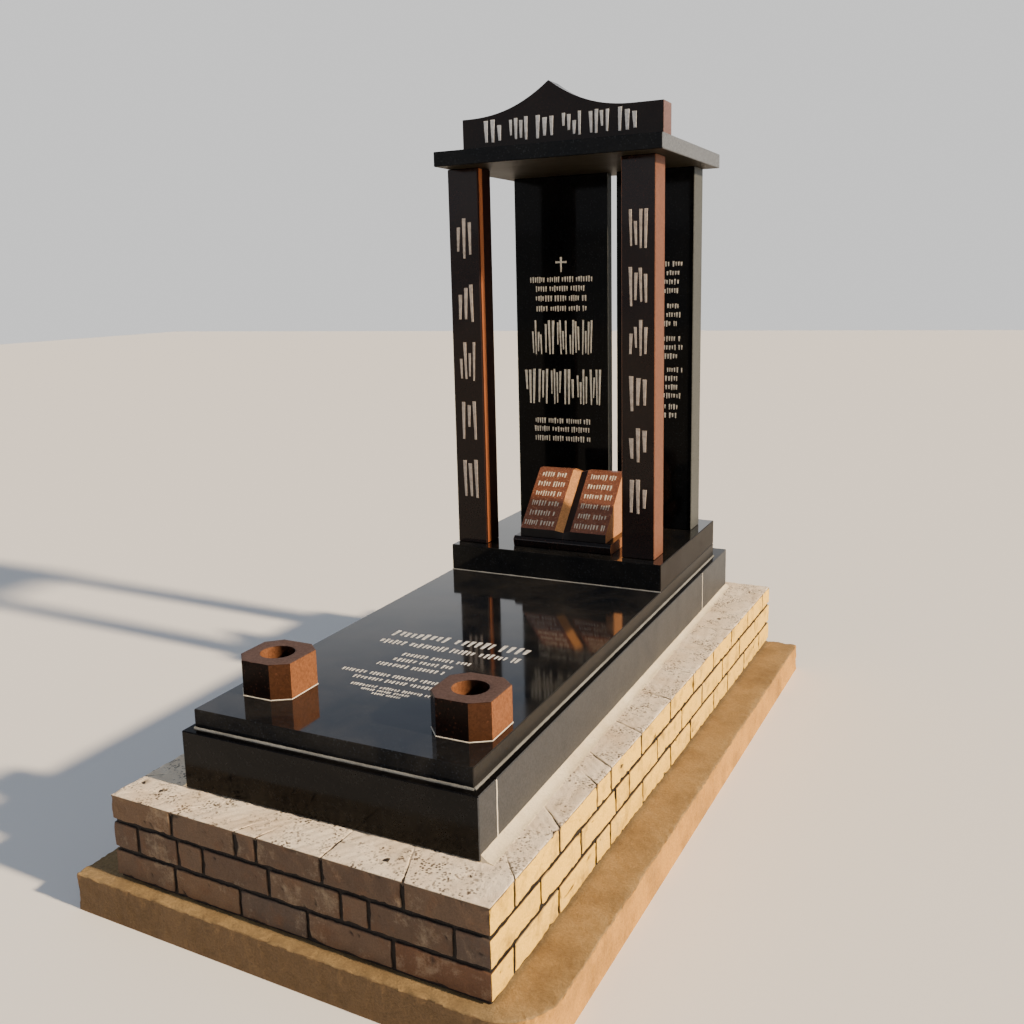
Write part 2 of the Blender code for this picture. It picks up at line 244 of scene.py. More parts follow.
def skin(name, points, around=True, capped=True, smooth=math.radians(35)):
    """A surface through a grid of points of shape (rows, columns, 3).

    Each cell of the grid is a quad. Columns wrap round when `around` is set, and the
    first and last rows are closed with a face when `capped` is set.
    """
    rows, columns = points.shape[:2]
    index = np.arange(rows * columns).reshape(rows, columns)
    if around:
        index = np.concatenate([index, index[:, :1]], axis=1)
    quads = np.stack([index[:-1, :-1], index[:-1, 1:], index[1:, 1:], index[1:, :-1]], -1)
    faces = quads.reshape(-1, 4).tolist()
    if capped:
        faces.append(index[0, :columns][::-1].tolist())
        faces.append(index[-1, :columns].tolist())
    mesh = bpy.data.meshes.new(name)
    mesh.from_pydata(points.reshape(-1, 3).tolist(), [], faces)
    return tidy_mesh(mesh, smooth)


def tidy_mesh(mesh, smooth):
    """Merge doubles, turn the faces outwards, and shade smooth between faces that are nearly in line."""
    bm = bmesh.new()
    bm.from_mesh(mesh)
    bmesh.ops.remove_doubles(bm, verts=bm.verts, dist=1e-6)
    bmesh.ops.dissolve_degenerate(bm, edges=bm.edges, dist=1e-7)
    bmesh.ops.recalc_face_normals(bm, faces=bm.faces)
    bm.to_mesh(mesh)
    bm.free()
    mesh.shade_smooth()
    mesh.set_sharp_from_angle(angle=smooth)
    return mesh


def dress(name, mesh, finish, stands_for=()):
    """Make a piece of the monument from a mesh, a finish and the record's slot."""
    piece = link_object(name, mesh)
    piece.data.materials.clear()
    piece.data.materials.append(finish)
    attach(piece, "root")
    if stands_for:
        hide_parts(*stands_for)
    return piece


def turned(points):
    """Turn points with the footing and bricks, which are laid a little askew under the granite."""
    cosine = math.cos(BASE_TURN)
    sine = math.sin(BASE_TURN)
    x, y, z = np.moveaxis(points, -1, 0)
    return np.stack([x * cosine - y * sine, x * sine + y * cosine, z], -1)


def rectangle_walk(along_x, along_y):
    """Points once round a rectangle, from places along its two sides."""
    return np.concatenate([
        np.stack([along_x[:-1], np.full(along_x.size - 1, along_y[0])], -1),
        np.stack([np.full(along_y.size - 1, along_x[-1]), along_y[:-1]], -1),
        np.stack([along_x[:0:-1], np.full(along_x.size - 1, along_y[-1])], -1),
        np.stack([np.full(along_y.size - 1, along_x[0]), along_y[:0:-1]], -1),
    ])


def spaced(half, arris, step):
    """Places from -half to half: close together within the arris, then even."""
    near = arris * np.array([0.0, 0.15, 0.35, 0.65, 1.0])
    count = max(2, int((half - arris) * 2 / step))
    middle = np.linspace(-half + arris, half - arris, count + 1)[1:-1]
    return np.concatenate([-half + near, middle, half - near[::-1]])


def rounded_rings(half, corner, front_right, insets, step):
    """Rings round a rectangle with rounded corners, one for each inset, and their outward directions.

    The front right corner has a radius of its own. The sharp rectangle is shrunk by the
    inset. Each point of it is clipped to the rectangle less what is left of the corner
    radius, then pushed out again by that radius along the direction between the two.
    """
    half = np.array(half)
    walk = rectangle_walk(spaced(half[0], corner, step), spaced(half[1], corner, step))
    size = half - insets[:, None]
    points = walk[None] * (size / half)[:, None]
    own = np.where((walk[:, 0] > 0) & (walk[:, 1] < 0), front_right, corner)
    radius = np.maximum(own[None] - insets[:, None], 1e-4)[..., None]
    limit = size[:, None] - radius
    inner = np.clip(points, -limit, limit)
    outward = points - inner
    outward /= np.linalg.norm(outward, axis=-1, keepdims=True)
    return inner + outward * radius, outward


footing_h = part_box("footing")[1].z
footing_l = BRICK_L + FOOTING_FRONT + FOOTING_REAR - FOOTING_DRAWN_IN
footing_half = (BRICK_W / 2 + FOOTING_SIDE, footing_l / 2)
quarter = np.linspace(0, math.pi / 2, 5)
inset = np.concatenate([
    np.zeros(12),
    FOOTING_ARRIS * (1 - np.cos(quarter)),
    np.linspace(FOOTING_ARRIS, FOOTING_INNER, 16)[1:],
])
level_z = np.concatenate([
    np.linspace(0, footing_h - FOOTING_ARRIS, 13)[:-1],
    footing_h - FOOTING_ARRIS + FOOTING_ARRIS * np.sin(quarter),
    np.full(15, footing_h),
])
rings, outward = rounded_rings(footing_half, FOOTING_CORNER, FOOTING_ROUND, inset, FOOTING_STEP)
rings = np.concatenate([rings, np.broadcast_to(level_z[:, None, None], (*rings.shape[:2], 1))], -1)
above_ground = np.clip(level_z / GROUND_FADE, 0, 1)[:, None]
on_top = np.clip(inset / TOP_FADE, 0, 1)[:, None]
rough = sum(rise * ripple(rings, length, seed) for seed, (rise, length) in enumerate(FOOTING_ROUGH, 1))
scratches = SCRATCH[0] * ripple(rings * SCRATCH_STRETCH, SCRATCH[1], 4) * (1 - on_top)
worn = np.minimum(rough + scratches - WEAR, -LEAST_WEAR) * above_ground - INSIDE_SOLID
rings[..., :2] += outward * (worn * (1 - on_top))[..., None]
from_arris = (inset[:, None] - FOOTING_ARRIS) / CRUMBLE_REACH
crumble = np.clip(ripple(rings, CRUMBLE[1], 5), 0, 1) * np.exp(-from_arris ** 2)
rings[..., 2] += (np.abs(worn) * -0.6 - CRUMBLE[0] * crumble) * (inset[:, None] > 0)
rings[..., 1] -= FOOTING_DRAWN_IN / 2
rings = turned(rings)


def per(mm):
    """Texture scale at which a pattern comes round about every so many millimetres."""
    return 1000 / mm


def concrete(name, top, side, painted_sunlight, dirt):
    """Rough concrete: a matt ground, soil stains and dark pits, and coarse sand.

    The upper faces, the upright faces and those that look right differ in colour: painted light and shade,
    with the right faces painted as sunlit.
    """
    made, tree, shader, place = new_material(name)
    facing = add(tree, "ShaderNodeNewGeometry").outputs["Normal"]
    toward = add(tree, "ShaderNodeSeparateXYZ", {0: facing})
    # Painted light: faces that look right, toward the key light, take the sunlit colour.
    lit_side_share = add(tree, "ShaderNodeMapRange", {0: toward.outputs["X"], 1: 0.3, 2: 0.9}).outputs[0]
    wall = add(tree, "ShaderNodeMix", {0: lit_side_share, 6: linear(side), 7: linear(painted_sunlight)},
               data_type="RGBA").outputs[2]
    flat = add(tree, "ShaderNodeMapRange", {0: toward.outputs["Z"], 1: 0.35, 2: 0.85}).outputs[0]
    ground = add(tree, "ShaderNodeMix", {0: flat, 6: wall, 7: linear(top)}, data_type="RGBA").outputs[2]
    patch = add(tree, "ShaderNodeTexNoise",
                {"Vector": place, "Scale": per(STAIN_MM), "Detail": 8.0, "Roughness": 0.65})
    share = add(tree, "ShaderNodeMapRange",
                {0: patch.outputs[0], 1: 0.42, 2: 0.72, 3: 0.0, 4: 0.75}).outputs[0]
    stained = add(tree, "ShaderNodeMix", {0: share, 6: ground, 7: linear(dirt)}, data_type="RGBA").outputs[2]
    sand = add(tree, "ShaderNodeTexNoise",
               {"Vector": place, "Scale": per(SAND_MM), "Detail": 4.0, "Roughness": 0.7})
    speck = add(tree, "ShaderNodeMapRange", {0: sand.outputs[0], 1: 0.3, 2: 0.7, 3: 0.72, 4: 1.2}).outputs[0]
    colour = add(tree, "ShaderNodeMix", {0: 1.0, 6: stained, 7: speck}, data_type="RGBA",
                 blend_type="MULTIPLY")
    tree.links.new(colour.outputs[2], shader.inputs["Base Color"])
    relief = add(tree, "ShaderNodeBump", {"Height": sand.outputs[0], "Distance": 0.004, "Strength": 0.6})
    tree.links.new(relief.outputs[0], shader.inputs["Normal"])
    shader.inputs["Roughness"].default_value = 0.92
    return made


# The top, upright and right-facing colours are painted light and shade: a shaded front and a sunlit right
# side.
footing_finish = concrete("poured concrete stained by soil", "#907850", "#664f33", "#c08c3e", "#574227")
dress("footing_poured", skin("footing_poured", rings), footing_finish, ["footing"])


# The bricks
# Three courses of stock brick, each brick with soft arrises and its own tint, laid with
# raked joints so that every brick stands proud of its mortar.

BRICK_FRONT_Y = -1.284
BRICK_H = 0.073
BED_JOINT = 0.010
PERPEND = 0.009
RAKE = 0.007
BRICK_DEPTH = 0.102
SHORTEST_BRICK = 0.045
SIDE_PITCH = 0.248
FRONT_PITCH = 0.232
FRONT_BRICKS = (
    (0.219, 0.228, 0.217, 0.252),
    (0.091, 0.146, 0.088, 0.221, 0.223, 0.081, 0.235),
    (0.220, 0.221, 0.070, 0.204, 0.235),
)
SIDE_BRICKS = (
    (0.114, 0.250, 0.245, 0.106, 0.268, 0.266, 0.219, 0.284, 0.188),
    (0.259, 0.250, 0.248, 0.108, 0.251, 0.249, 0.233, 0.265),
    (0.122, 0.251, 0.244, 0.106, 0.247, 0.275, 0.246),
)
SKIM = 0.004
BRICK_ARRIS = 0.0042
BRICK_STEP = 0.011
COURSE_NAMES = ("bottom", "middle", "top")
# The front bricks' tints are darker than the others': painted shade of the brickwork's front.
SHADED_FRONT_TINTS = ("#5a4636", "#503e30", "#604a36", "#5c3f2b", "#584535", "#4d3f35")
PAINTED_SUNLIT_SIDE = "#ffcd48"
SIDE_TINTS = ("#a58c62", "#b39a6b", "#947a52", "#ad9263", "#9c8560", "#856a48")
BURNT = "#5e3f28"
LIME = "#bfae90"
# Painted shade: brick faces that lie deeper than the brickwork's face, in the joints, go near black.
JOINT_SHADE_COLOUR = "#1d150f"
JOINT_SHADE_FROM = 0.0030
JOINT_SHADE_FULL = 0.0046
# Height and wavelength of the faces' waviness and of their chips.
BRICK_WAVES = ((0.0011, 0.07), (0.0007, 0.022))
BRICK_CHIPS = (0.0035, 0.03)
CHIPS_FROM = 0.45
BRICK_WEAR = 0.0006
BURNT_MM = 58.8
BLOOM_MM = 111
GRIT_MM = 4.762


def joint_places(length, first, pitch):
    """Places of the upright joints along a face, with its two ends."""
    places = [0.0]
    for run in list(first) + [pitch] * int(length / pitch):
        if places[-1] + run > length - SHORTEST_BRICK:
            break
        places.append(places[-1] + run)
    return np.array(places + [length])


def course_bricks(course):
    """Boxes (x0, x1, y0, y1, is on the front) of one course; a corner brick shows on two faces."""
    x = joint_places(BRICK_W, FRONT_BRICKS[course], FRONT_PITCH) - BRICK_W / 2
    y = joint_places(BRICK_L, SIDE_BRICKS[course], SIDE_PITCH) + BRICK_FRONT_Y
    y1 = y[-1]
    x_rear = -x[::-1]
    y_left = y[0] + y1 - y[::-1]
    half = BRICK_W / 2
    joint = PERPEND / 2
    corners = [
        (x[-2] + joint, half, y[0], y[1] - joint, 1),
        (x_rear[-2] + joint, half, y[-2] + joint, y1, 0),
        (-half, x_rear[1] - joint, y_left[-2] + joint, y1, 0),
        (-half, x[1] - joint, y[0], y_left[1] - joint, 1),
    ]
    front = [(a + joint, b - joint, y[0], y[0] + BRICK_DEPTH, 1) for a, b in zip(x[1:-2], x[2:-1])]
    rear = [(a + joint, b - joint, y1 - BRICK_DEPTH, y1, 0) for a, b in zip(x_rear[1:-2], x_rear[2:-1])]
    right_side = [(half - BRICK_DEPTH, half, a + joint, b - joint, 0) for a, b in zip(y[1:-2], y[2:-1])]
    left_side = [(-half, BRICK_DEPTH - half, a + joint, b - joint, 0)
                 for a, b in zip(y_left[1:-2], y_left[2:-1])]
    return corners + front + rear + right_side + left_side


def brick_points(half, seed, arris=BRICK_ARRIS, step=BRICK_STEP, wear=1.0):
    """A worn box as rings carried along its length, closed by rings that shrink to a point.

    Each point of a sharp box is clipped to the box less its arris, pushed out again by
    the arris along the direction between the two, and then moved along it by noise.
    """
    x, y, z = (spaced(size, arris, step) for size in half)
    ring = rectangle_walk(y, z)
    shrink = np.array([0.0, 0.3, 0.6, 0.85, 0.94])
    place_x = np.concatenate([np.full(5, -half[0]), x, np.full(5, half[0])])
    scale = np.concatenate([shrink, np.ones(x.size), shrink[::-1]])
    points = np.concatenate([
        np.broadcast_to(place_x[:, None, None], (place_x.size, len(ring), 1)),
        ring[None] * scale[:, None, None],
    ], -1)
    limit = np.array(half) - arris
    inner = np.clip(points, -limit, limit)
    push = points - inner
    push /= np.maximum(np.linalg.norm(push, axis=-1, keepdims=True), 1e-9)
    away = np.random.default_rng(seed).uniform(-9, 9, 3)
    wave = sum(rise * ripple(points + away, length, 11 + k) for k, (rise, length) in enumerate(BRICK_WAVES))
    chips = -BRICK_CHIPS[0] * np.clip(ripple(points + away, BRICK_CHIPS[1], 13) - CHIPS_FROM, 0, 1)
    return inner + push * (arris + wear * (wave + chips - BRICK_WEAR))[..., None]


def join_skins(name, grids, tints, smooth):
    """One mesh from several closed grids, with each grid's tint as a colour attribute."""
    verts = []
    faces = []
    colours = []
    start = 0
    for points, tint in zip(grids, tints):
        rows, columns = points.shape[:2]
        index = np.arange(rows * columns).reshape(rows, columns) + start
        index = np.concatenate([index, index[:, :1]], axis=1)
        quads = np.stack([index[:-1, :-1], index[:-1, 1:], index[1:, 1:], index[1:, :-1]], -1)
        verts.append(points.reshape(-1, 3))
        faces.append(quads.reshape(-1, 4))
        colours.append(np.broadcast_to(linear(tint), (rows * columns, 4)))
        start += rows * columns
    mesh = bpy.data.meshes.new(name)
    mesh.from_pydata(np.concatenate(verts).tolist(), [], np.concatenate(faces).tolist())
    tone = mesh.attributes.new("tint", "FLOAT_COLOR", "POINT")
    tone.data.foreach_set("color", np.concatenate(colours).astype(np.float32).ravel())
    return tidy_mesh(mesh, smooth)


def stock_brick(name):
    """Fired stock brick: the brick's own tint, cloudy burnt patches, lime bloom and pits, matt.

    The sun has bleached the monument's right side, and so the ends of the corner bricks
    Faces that look right and lie further out than the joints are painted sunlit yellow:
    painted light on the monument's right side and the ends of the corner bricks there.
    The front bricks' tints are darker: painted shade. Faces that lie deeper than the face
    of the brickwork, in the joints, are painted near black: painted shade.
    """
    made, tree, shader, place = new_material(name)
    own = add(tree, "ShaderNodeAttribute", attribute_name="tint").outputs["Color"]
    normal = add(tree, "ShaderNodeNewGeometry").outputs["Normal"]
    across = add(tree, "ShaderNodeSeparateXYZ", {0: normal}).outputs["X"]
    square = add(tree, "ShaderNodeVectorRotate", {"Vector": place, "Angle": -BASE_TURN},
                 rotation_type="Z_AXIS")
    apart = add(tree, "ShaderNodeSeparateXYZ", {0: square.outputs[0]})
    depths = []
    for axis, middle, half in (("X", 0.0, BRICK_W / 2), ("Y", BRICK_FRONT_Y + BRICK_L / 2, BRICK_L / 2)):
        away = add(tree, "ShaderNodeMath", {0: apart.outputs[axis], 1: middle},
                   operation="SUBTRACT").outputs[0]
        away = add(tree, "ShaderNodeMath", {0: away}, operation="ABSOLUTE").outputs[0]
        depths.append(add(tree, "ShaderNodeMath", {0: half, 1: away}, operation="SUBTRACT").outputs[0])
    outer = add(tree, "ShaderNodeMath", {0: depths[0], 1: RAKE}, operation="LESS_THAN").outputs[0]
    depth = add(tree, "ShaderNodeMath", {0: depths[0], 1: depths[1]}, operation="MINIMUM").outputs[0]
    # Painted shade in the joints: darker the deeper a face lies behind the brickwork's face.
    joint_shade = add(tree, "ShaderNodeMapRange", {0: depth, 1: JOINT_SHADE_FROM, 2: JOINT_SHADE_FULL, 3: 0.0, 4: 0.95}).outputs[0]
    # Painted light: faces that look right and lie further out than the joints take the sunlit yellow.
    lit_side_share = add(tree, "ShaderNodeMapRange", {0: across, 1: 0.5, 2: 0.8, 3: 0.0, 4: 0.85}).outputs[0]
    painted_sunlight = add(tree, "ShaderNodeMath", {0: lit_side_share, 1: outer}, operation="MULTIPLY").outputs[0]
    tint = add(tree, "ShaderNodeMix", {0: painted_sunlight, 6: own, 7: linear(PAINTED_SUNLIT_SIDE)},
               data_type="RGBA").outputs[2]
    cloud = add(tree, "ShaderNodeTexNoise",
                {"Vector": place, "Scale": per(BURNT_MM), "Detail": 6.0, "Roughness": 0.6})
    burnt = add(tree, "ShaderNodeMapRange", {0: cloud.outputs[0], 1: 0.5, 2: 0.72, 3: 0.0, 4: 0.6}).outputs[0]
    body = add(tree, "ShaderNodeMix", {0: burnt, 6: tint, 7: linear(BURNT)}, data_type="RGBA").outputs[2]
    film = add(tree, "ShaderNodeTexNoise",
               {"Vector": place, "Scale": per(BLOOM_MM), "Detail": 10.0, "Roughness": 0.75})
    bloom = add(tree, "ShaderNodeMapRange", {0: film.outputs[0], 1: 0.54, 2: 0.75, 3: 0.0, 4: 0.4}).outputs[0]
    limed = add(tree, "ShaderNodeMix", {0: bloom, 6: body, 7: linear(LIME)}, data_type="RGBA").outputs[2]
    grit = add(tree, "ShaderNodeTexNoise",
               {"Vector": place, "Scale": per(GRIT_MM), "Detail": 3.0, "Roughness": 0.7})
    speck = add(tree, "ShaderNodeMapRange", {0: grit.outputs[0], 1: 0.3, 2: 0.7, 3: 0.8, 4: 1.15}).outputs[0]
    joint_shaded = add(tree, "ShaderNodeMix", {0: joint_shade, 6: limed, 7: linear(JOINT_SHADE_COLOUR)}, data_type="RGBA").outputs[2]
    colour = add(tree, "ShaderNodeMix", {0: 1.0, 6: joint_shaded, 7: speck}, data_type="RGBA", blend_type="MULTIPLY")
    tree.links.new(colour.outputs[2], shader.inputs["Base Color"])
    relief = add(tree, "ShaderNodeBump", {"Height": grit.outputs[0], "Distance": 0.003, "Strength": 0.5})
    tree.links.new(relief.outputs[0], shader.inputs["Normal"])
    shader.inputs["Roughness"].default_value = 0.88
    return made


brick_finish = stock_brick("fired stock brick")
brick_smooth = math.radians(60)
tint_dice = np.random.default_rng(40)
for course, course_name in enumerate(COURSE_NAMES):
    bed_z = footing_h + course * (BRICK_H + BED_JOINT) + BED_JOINT
    brick_h = BRICK_H - (SKIM if course_name == "top" else 0.0)
    grids = []
    tints = []
    for number, (x0, x1, y0, y1, front) in enumerate(course_bricks(course)):
        half = ((x1 - x0) / 2, (y1 - y0) / 2, brick_h / 2)
        shape = brick_points(half, 100 * course + number)
        grids.append(turned(shape + ((x0 + x1) / 2, (y0 + y1) / 2, bed_z + brick_h / 2)))
        # Front bricks take the darker tints: painted shade.
        tints.append(tint_dice.choice(SHADED_FRONT_TINTS if front else SIDE_TINTS))
    bricks = join_skins(f"bricks_{course_name}", grids, tints, brick_smooth)
    dress(f"bricks_{course_name}", bricks, brick_finish, [f"brick_course_{course + 1}"])


# The joints' mortar
# Sand and cement between the bricks, raked back; its near-black colour is dark mortar with
# the deep shade of the joints painted in.

BRICK_TOP = footing_h + len(COURSE_NAMES) * (BRICK_H + BED_JOINT)
MORTAR_BURIED = 0.004

half = (BRICK_W / 2 - RAKE, BRICK_L / 2 - RAKE, (BRICK_TOP - footing_h - MORTAR_BURIED) / 2)
core = brick_points(half, 7, arris=0.003, step=0.03, wear=0.5)
core = turned(core + (0, BRICK_FRONT_Y + BRICK_L / 2, footing_h + half[2]))
# Near-black mortar: painted shade of the deep raked joints on a dark mortar.
joint_finish = concrete("raked cement mortar", "#2a211a", "#1c1510", "#1a130d", "#100b08")
dress("joint_mortar", skin("joint_mortar", core, capped=False), joint_finish)


# The mortar top
# The bricks' upper faces carry a thin trowelled coat of pale mortar from their edge to
# the granite. It has opened over the joints and holds dark dirt in its pits.

COAT_INSET = 0.0015
COAT_UNDER_KERB = 0.012
COAT_STEP = 0.007
CRACK_DEPTH = 0.0055
CRACK_HALF = 0.0026
CRACK_REACH = (0.05, 0.14)
CRACK_WANDER = (0.004, 0.06)
WANDER_FROM = 0.004
COAT_WAVES = ((0.0009, 0.09), (0.0009, 0.02))
COAT_SUNK = 0.0018
COAT_UNDERSIDE = SKIM * 1.7
EDGE_FALLS = (SKIM * 1.6, 0.0022, 0.0009, 0.0003)
DARKER_BELOW_TOP = (0.0048, 0.0030)
CRUMB_COLOUR = "#3d2e21"
CLOUD_MM = 143
CRUMB_MM = 8.333
DRIFT_MM = 91
FINE_SAND_MM = 3.846

kerb_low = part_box("kerb_front")[0]
kerb_high = Vector(map(max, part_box("kerb_rear")[1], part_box("kerb_right")[1]))


def with_cracks(length, first, pitch):
    """Places along an edge, close together at the joints, and the joints' places."""
    joints = joint_places(length, first, pitch)[1:-1]
    beside = np.array([-3.0, -1.6, -0.8, 0.0, 0.8, 1.6, 3.0]) * CRACK_HALF
    places = np.concatenate([np.arange(0, length, COAT_STEP), (joints[:, None] + beside).ravel(), [length]])
    return np.unique(np.clip(places, 0, length).round(5)), joints


def edge_of_coat(start, end, inner_start, inner_end, first, pitch, seed):
    """One side of the coat as a grid: along the bricks' edge, and inwards to the granite.

    The height falls over each joint by a bell curve of the distance to it, which fades
    with the distance from the edge, and rises and falls a little by noise.
    """
    length = float(np.linalg.norm(np.subtract(end, start)))
    places, joints = with_cracks(length, first, pitch)
    share = (places / length)[None, :, None]
    outer = np.array(start) * (1 - share) + np.array(end) * share
    inner = np.array(inner_start) * (1 - share) + np.array(inner_end) * share
    across = np.concatenate([[0, 0, 0.006, 0.02], np.linspace(0.06, 1, 22)])[:, None, None]
    grid = outer * (1 - across) + inner * across
    width = np.linalg.norm(outer - inner, axis=-1)
    from_edge = across[..., 0] * width
    dice = np.random.default_rng(seed)
    reach = dice.uniform(*CRACK_REACH, joints.size)
    away = places[None, :, None] - joints[None, None]
    fade = np.clip(1.25 - from_edge[..., None] / reach, 0, 1)
    crack = (np.exp(-(away / CRACK_HALF) ** 2) * fade).sum(-1)
    sunk = np.array([*EDGE_FALLS] + [0.0] * 22)[:, None]
    flat = np.concatenate([grid, np.zeros((*grid.shape[:2], 1))], -1)
    noise = sum(rise * ripple(flat, run, seed + k) for k, (rise, run) in enumerate(COAT_WAVES, 1))
    z = BRICK_TOP - sunk - CRACK_DEPTH * np.clip(crack, 0, 1) + (noise - COAT_SUNK)
    wander = CRACK_WANDER[0] * ripple(flat, CRACK_WANDER[1], seed + 3)
    wander = wander * np.clip(crack, 0, 1) * (from_edge > WANDER_FROM)
    grid = grid + wander[..., None] * (np.subtract(end, start) / length)
    return np.concatenate([grid, z[..., None]], -1)


def flat_turned(x, y):
    return turned(np.array([x, y, 0.0]))[:2]


x1 = BRICK_W / 2 - COAT_INSET
y0 = BRICK_FRONT_Y + COAT_INSET
y1 = BRICK_FRONT_Y + BRICK_L - COAT_INSET
outer_corners = [flat_turned(-x1, y0), flat_turned(x1, y0), flat_turned(x1, y1), flat_turned(-x1, y1)]
inner_corners = [
    (kerb_low.x + COAT_UNDER_KERB, kerb_low.y + COAT_UNDER_KERB),
    (kerb_high.x - COAT_UNDER_KERB, kerb_low.y + COAT_UNDER_KERB),
    (kerb_high.x - COAT_UNDER_KERB, kerb_high.y - COAT_UNDER_KERB),
    (kerb_low.x + COAT_UNDER_KERB, kerb_high.y - COAT_UNDER_KERB),
]
sides = []
for number in range(4):
    after = (number + 1) % 4
    lengthwise = number % 2
    runs = (SIDE_BRICKS if lengthwise else FRONT_BRICKS)[2]
    pitch = SIDE_PITCH if lengthwise else FRONT_PITCH
    sides.append(edge_of_coat(outer_corners[number], outer_corners[after], inner_corners[number],
                              inner_corners[after], runs, pitch, 60 + 10 * number)[:, :-1])
coat = np.concatenate(sides, axis=1)
under = coat[[-1, 0]].copy()
under[..., 2] = BRICK_TOP - COAT_UNDERSIDE
coat = np.concatenate([coat, under, coat[:1]])


def trowelled_mortar(name, ground, shadow, specks):
    """Pale trowelled mortar: cloudy cream, fine sand, and crumbs of dark dirt in drifts."""
    made, tree, shader, place = new_material(name)
    cloud = add(tree, "ShaderNodeTexNoise",
                {"Vector": place, "Scale": per(CLOUD_MM), "Detail": 7.0, "Roughness": 0.6})
    share = add(tree, "ShaderNodeMapRange", {0: cloud.outputs[0], 1: 0.4, 2: 0.7, 3: 0.0, 4: 0.8}).outputs[0]
    body = add(tree, "ShaderNodeMix", {0: share, 6: linear(ground), 7: linear(shadow)},
               data_type="RGBA").outputs[2]
    crumbs = add(tree, "ShaderNodeTexVoronoi", {"Vector": place, "Scale": per(CRUMB_MM), "Randomness": 1.0})
    crumb = add(tree, "ShaderNodeMapRange",
                {0: crumbs.outputs["Distance"], 1: 0.34, 2: 0.5, 3: 1.0, 4: 0.0}).outputs[0]
    drift = add(tree, "ShaderNodeTexNoise",
                {"Vector": place, "Scale": per(DRIFT_MM), "Detail": 6.0, "Roughness": 0.75})
    drifts = add(tree, "ShaderNodeMapRange", {0: drift.outputs[0], 1: 0.46, 2: 0.58}).outputs[0]
    amount = add(tree, "ShaderNodeMath", {0: crumb, 1: drifts}, operation="MULTIPLY").outputs[0]
    dirty = add(tree, "ShaderNodeMath", {0: amount, 1: specks}, operation="MULTIPLY").outputs[0]
    level = add(tree, "ShaderNodeSeparateXYZ", {0: place}).outputs["Z"]
    # Darker where the coat lies lowest: in its cracks and where it falls over the bricks' edge.
    deep = add(tree, "ShaderNodeMapRange", {0: level, 1: BRICK_TOP - DARKER_BELOW_TOP[0],
                                            2: BRICK_TOP - DARKER_BELOW_TOP[1], 3: specks, 4: 0.0}).outputs[0]
    darkened = add(tree, "ShaderNodeMath", {0: dirty, 1: deep}, operation="MAXIMUM").outputs[0]
    marked = add(tree, "ShaderNodeMix", {0: darkened, 6: body, 7: linear(CRUMB_COLOUR)},
                 data_type="RGBA").outputs[2]
    sand = add(tree, "ShaderNodeTexNoise",
               {"Vector": place, "Scale": per(FINE_SAND_MM), "Detail": 3.0, "Roughness": 0.7})
    speck = add(tree, "ShaderNodeMapRange", {0: sand.outputs[0], 1: 0.3, 2: 0.7, 3: 0.84, 4: 1.1}).outputs[0]
    colour = add(tree, "ShaderNodeMix", {0: 1.0, 6: marked, 7: speck}, data_type="RGBA",
                 blend_type="MULTIPLY")
    tree.links.new(colour.outputs[2], shader.inputs["Base Color"])
    relief = add(tree, "ShaderNodeBump", {"Height": sand.outputs[0], "Distance": 0.004, "Strength": 0.6})
    tree.links.new(relief.outputs[0], shader.inputs["Normal"])
    shader.inputs["Roughness"].default_value = 0.9
    return made


coat_finish = trowelled_mortar("trowelled cream mortar", "#f8e9d0", "#d8bf9f", 0.95)
dress("mortar_top", skin("mortar_top", coat, capped=False), coat_finish)


# The kerbs
# Four polished black granite panels, bedded on the bricks and closed by a deeper block at
# the rear. Their fronts are polished; the cut ends and sides are duller and greyer.

FILLET_W = 0.034
FILLET_H = 0.018
FILLET_HOLLOW = 1.7
FILLET_START = 0.004
FILLET_SUNK = 0.001
# How far the beads reach into the stone beside them and into what carries them.
BEAD_SUNK = 0.001
BEAD_BURIED = 0.002
JOINT_W = 0.0045
JOINT_PROUD = 0.0008
JOINT_FOOT = 0.004
JOINT_HEAD = 0.002
KERB_T = 0.096
KERB_REAR = 0.398
DUST = "#8a8274"
FINE_GRAIN = 0.004
COARSE_GRAIN = 0.005
SMEAR_MM = 200
POLISH_WAVE_MM = 111


def sawn_sides(colour, share):
    """The faces that look to the right and to the left, as dull faces of one colour."""
    return (("X", 0.62, 0.68, colour, share), ("X", -0.62, -0.68, colour, share))


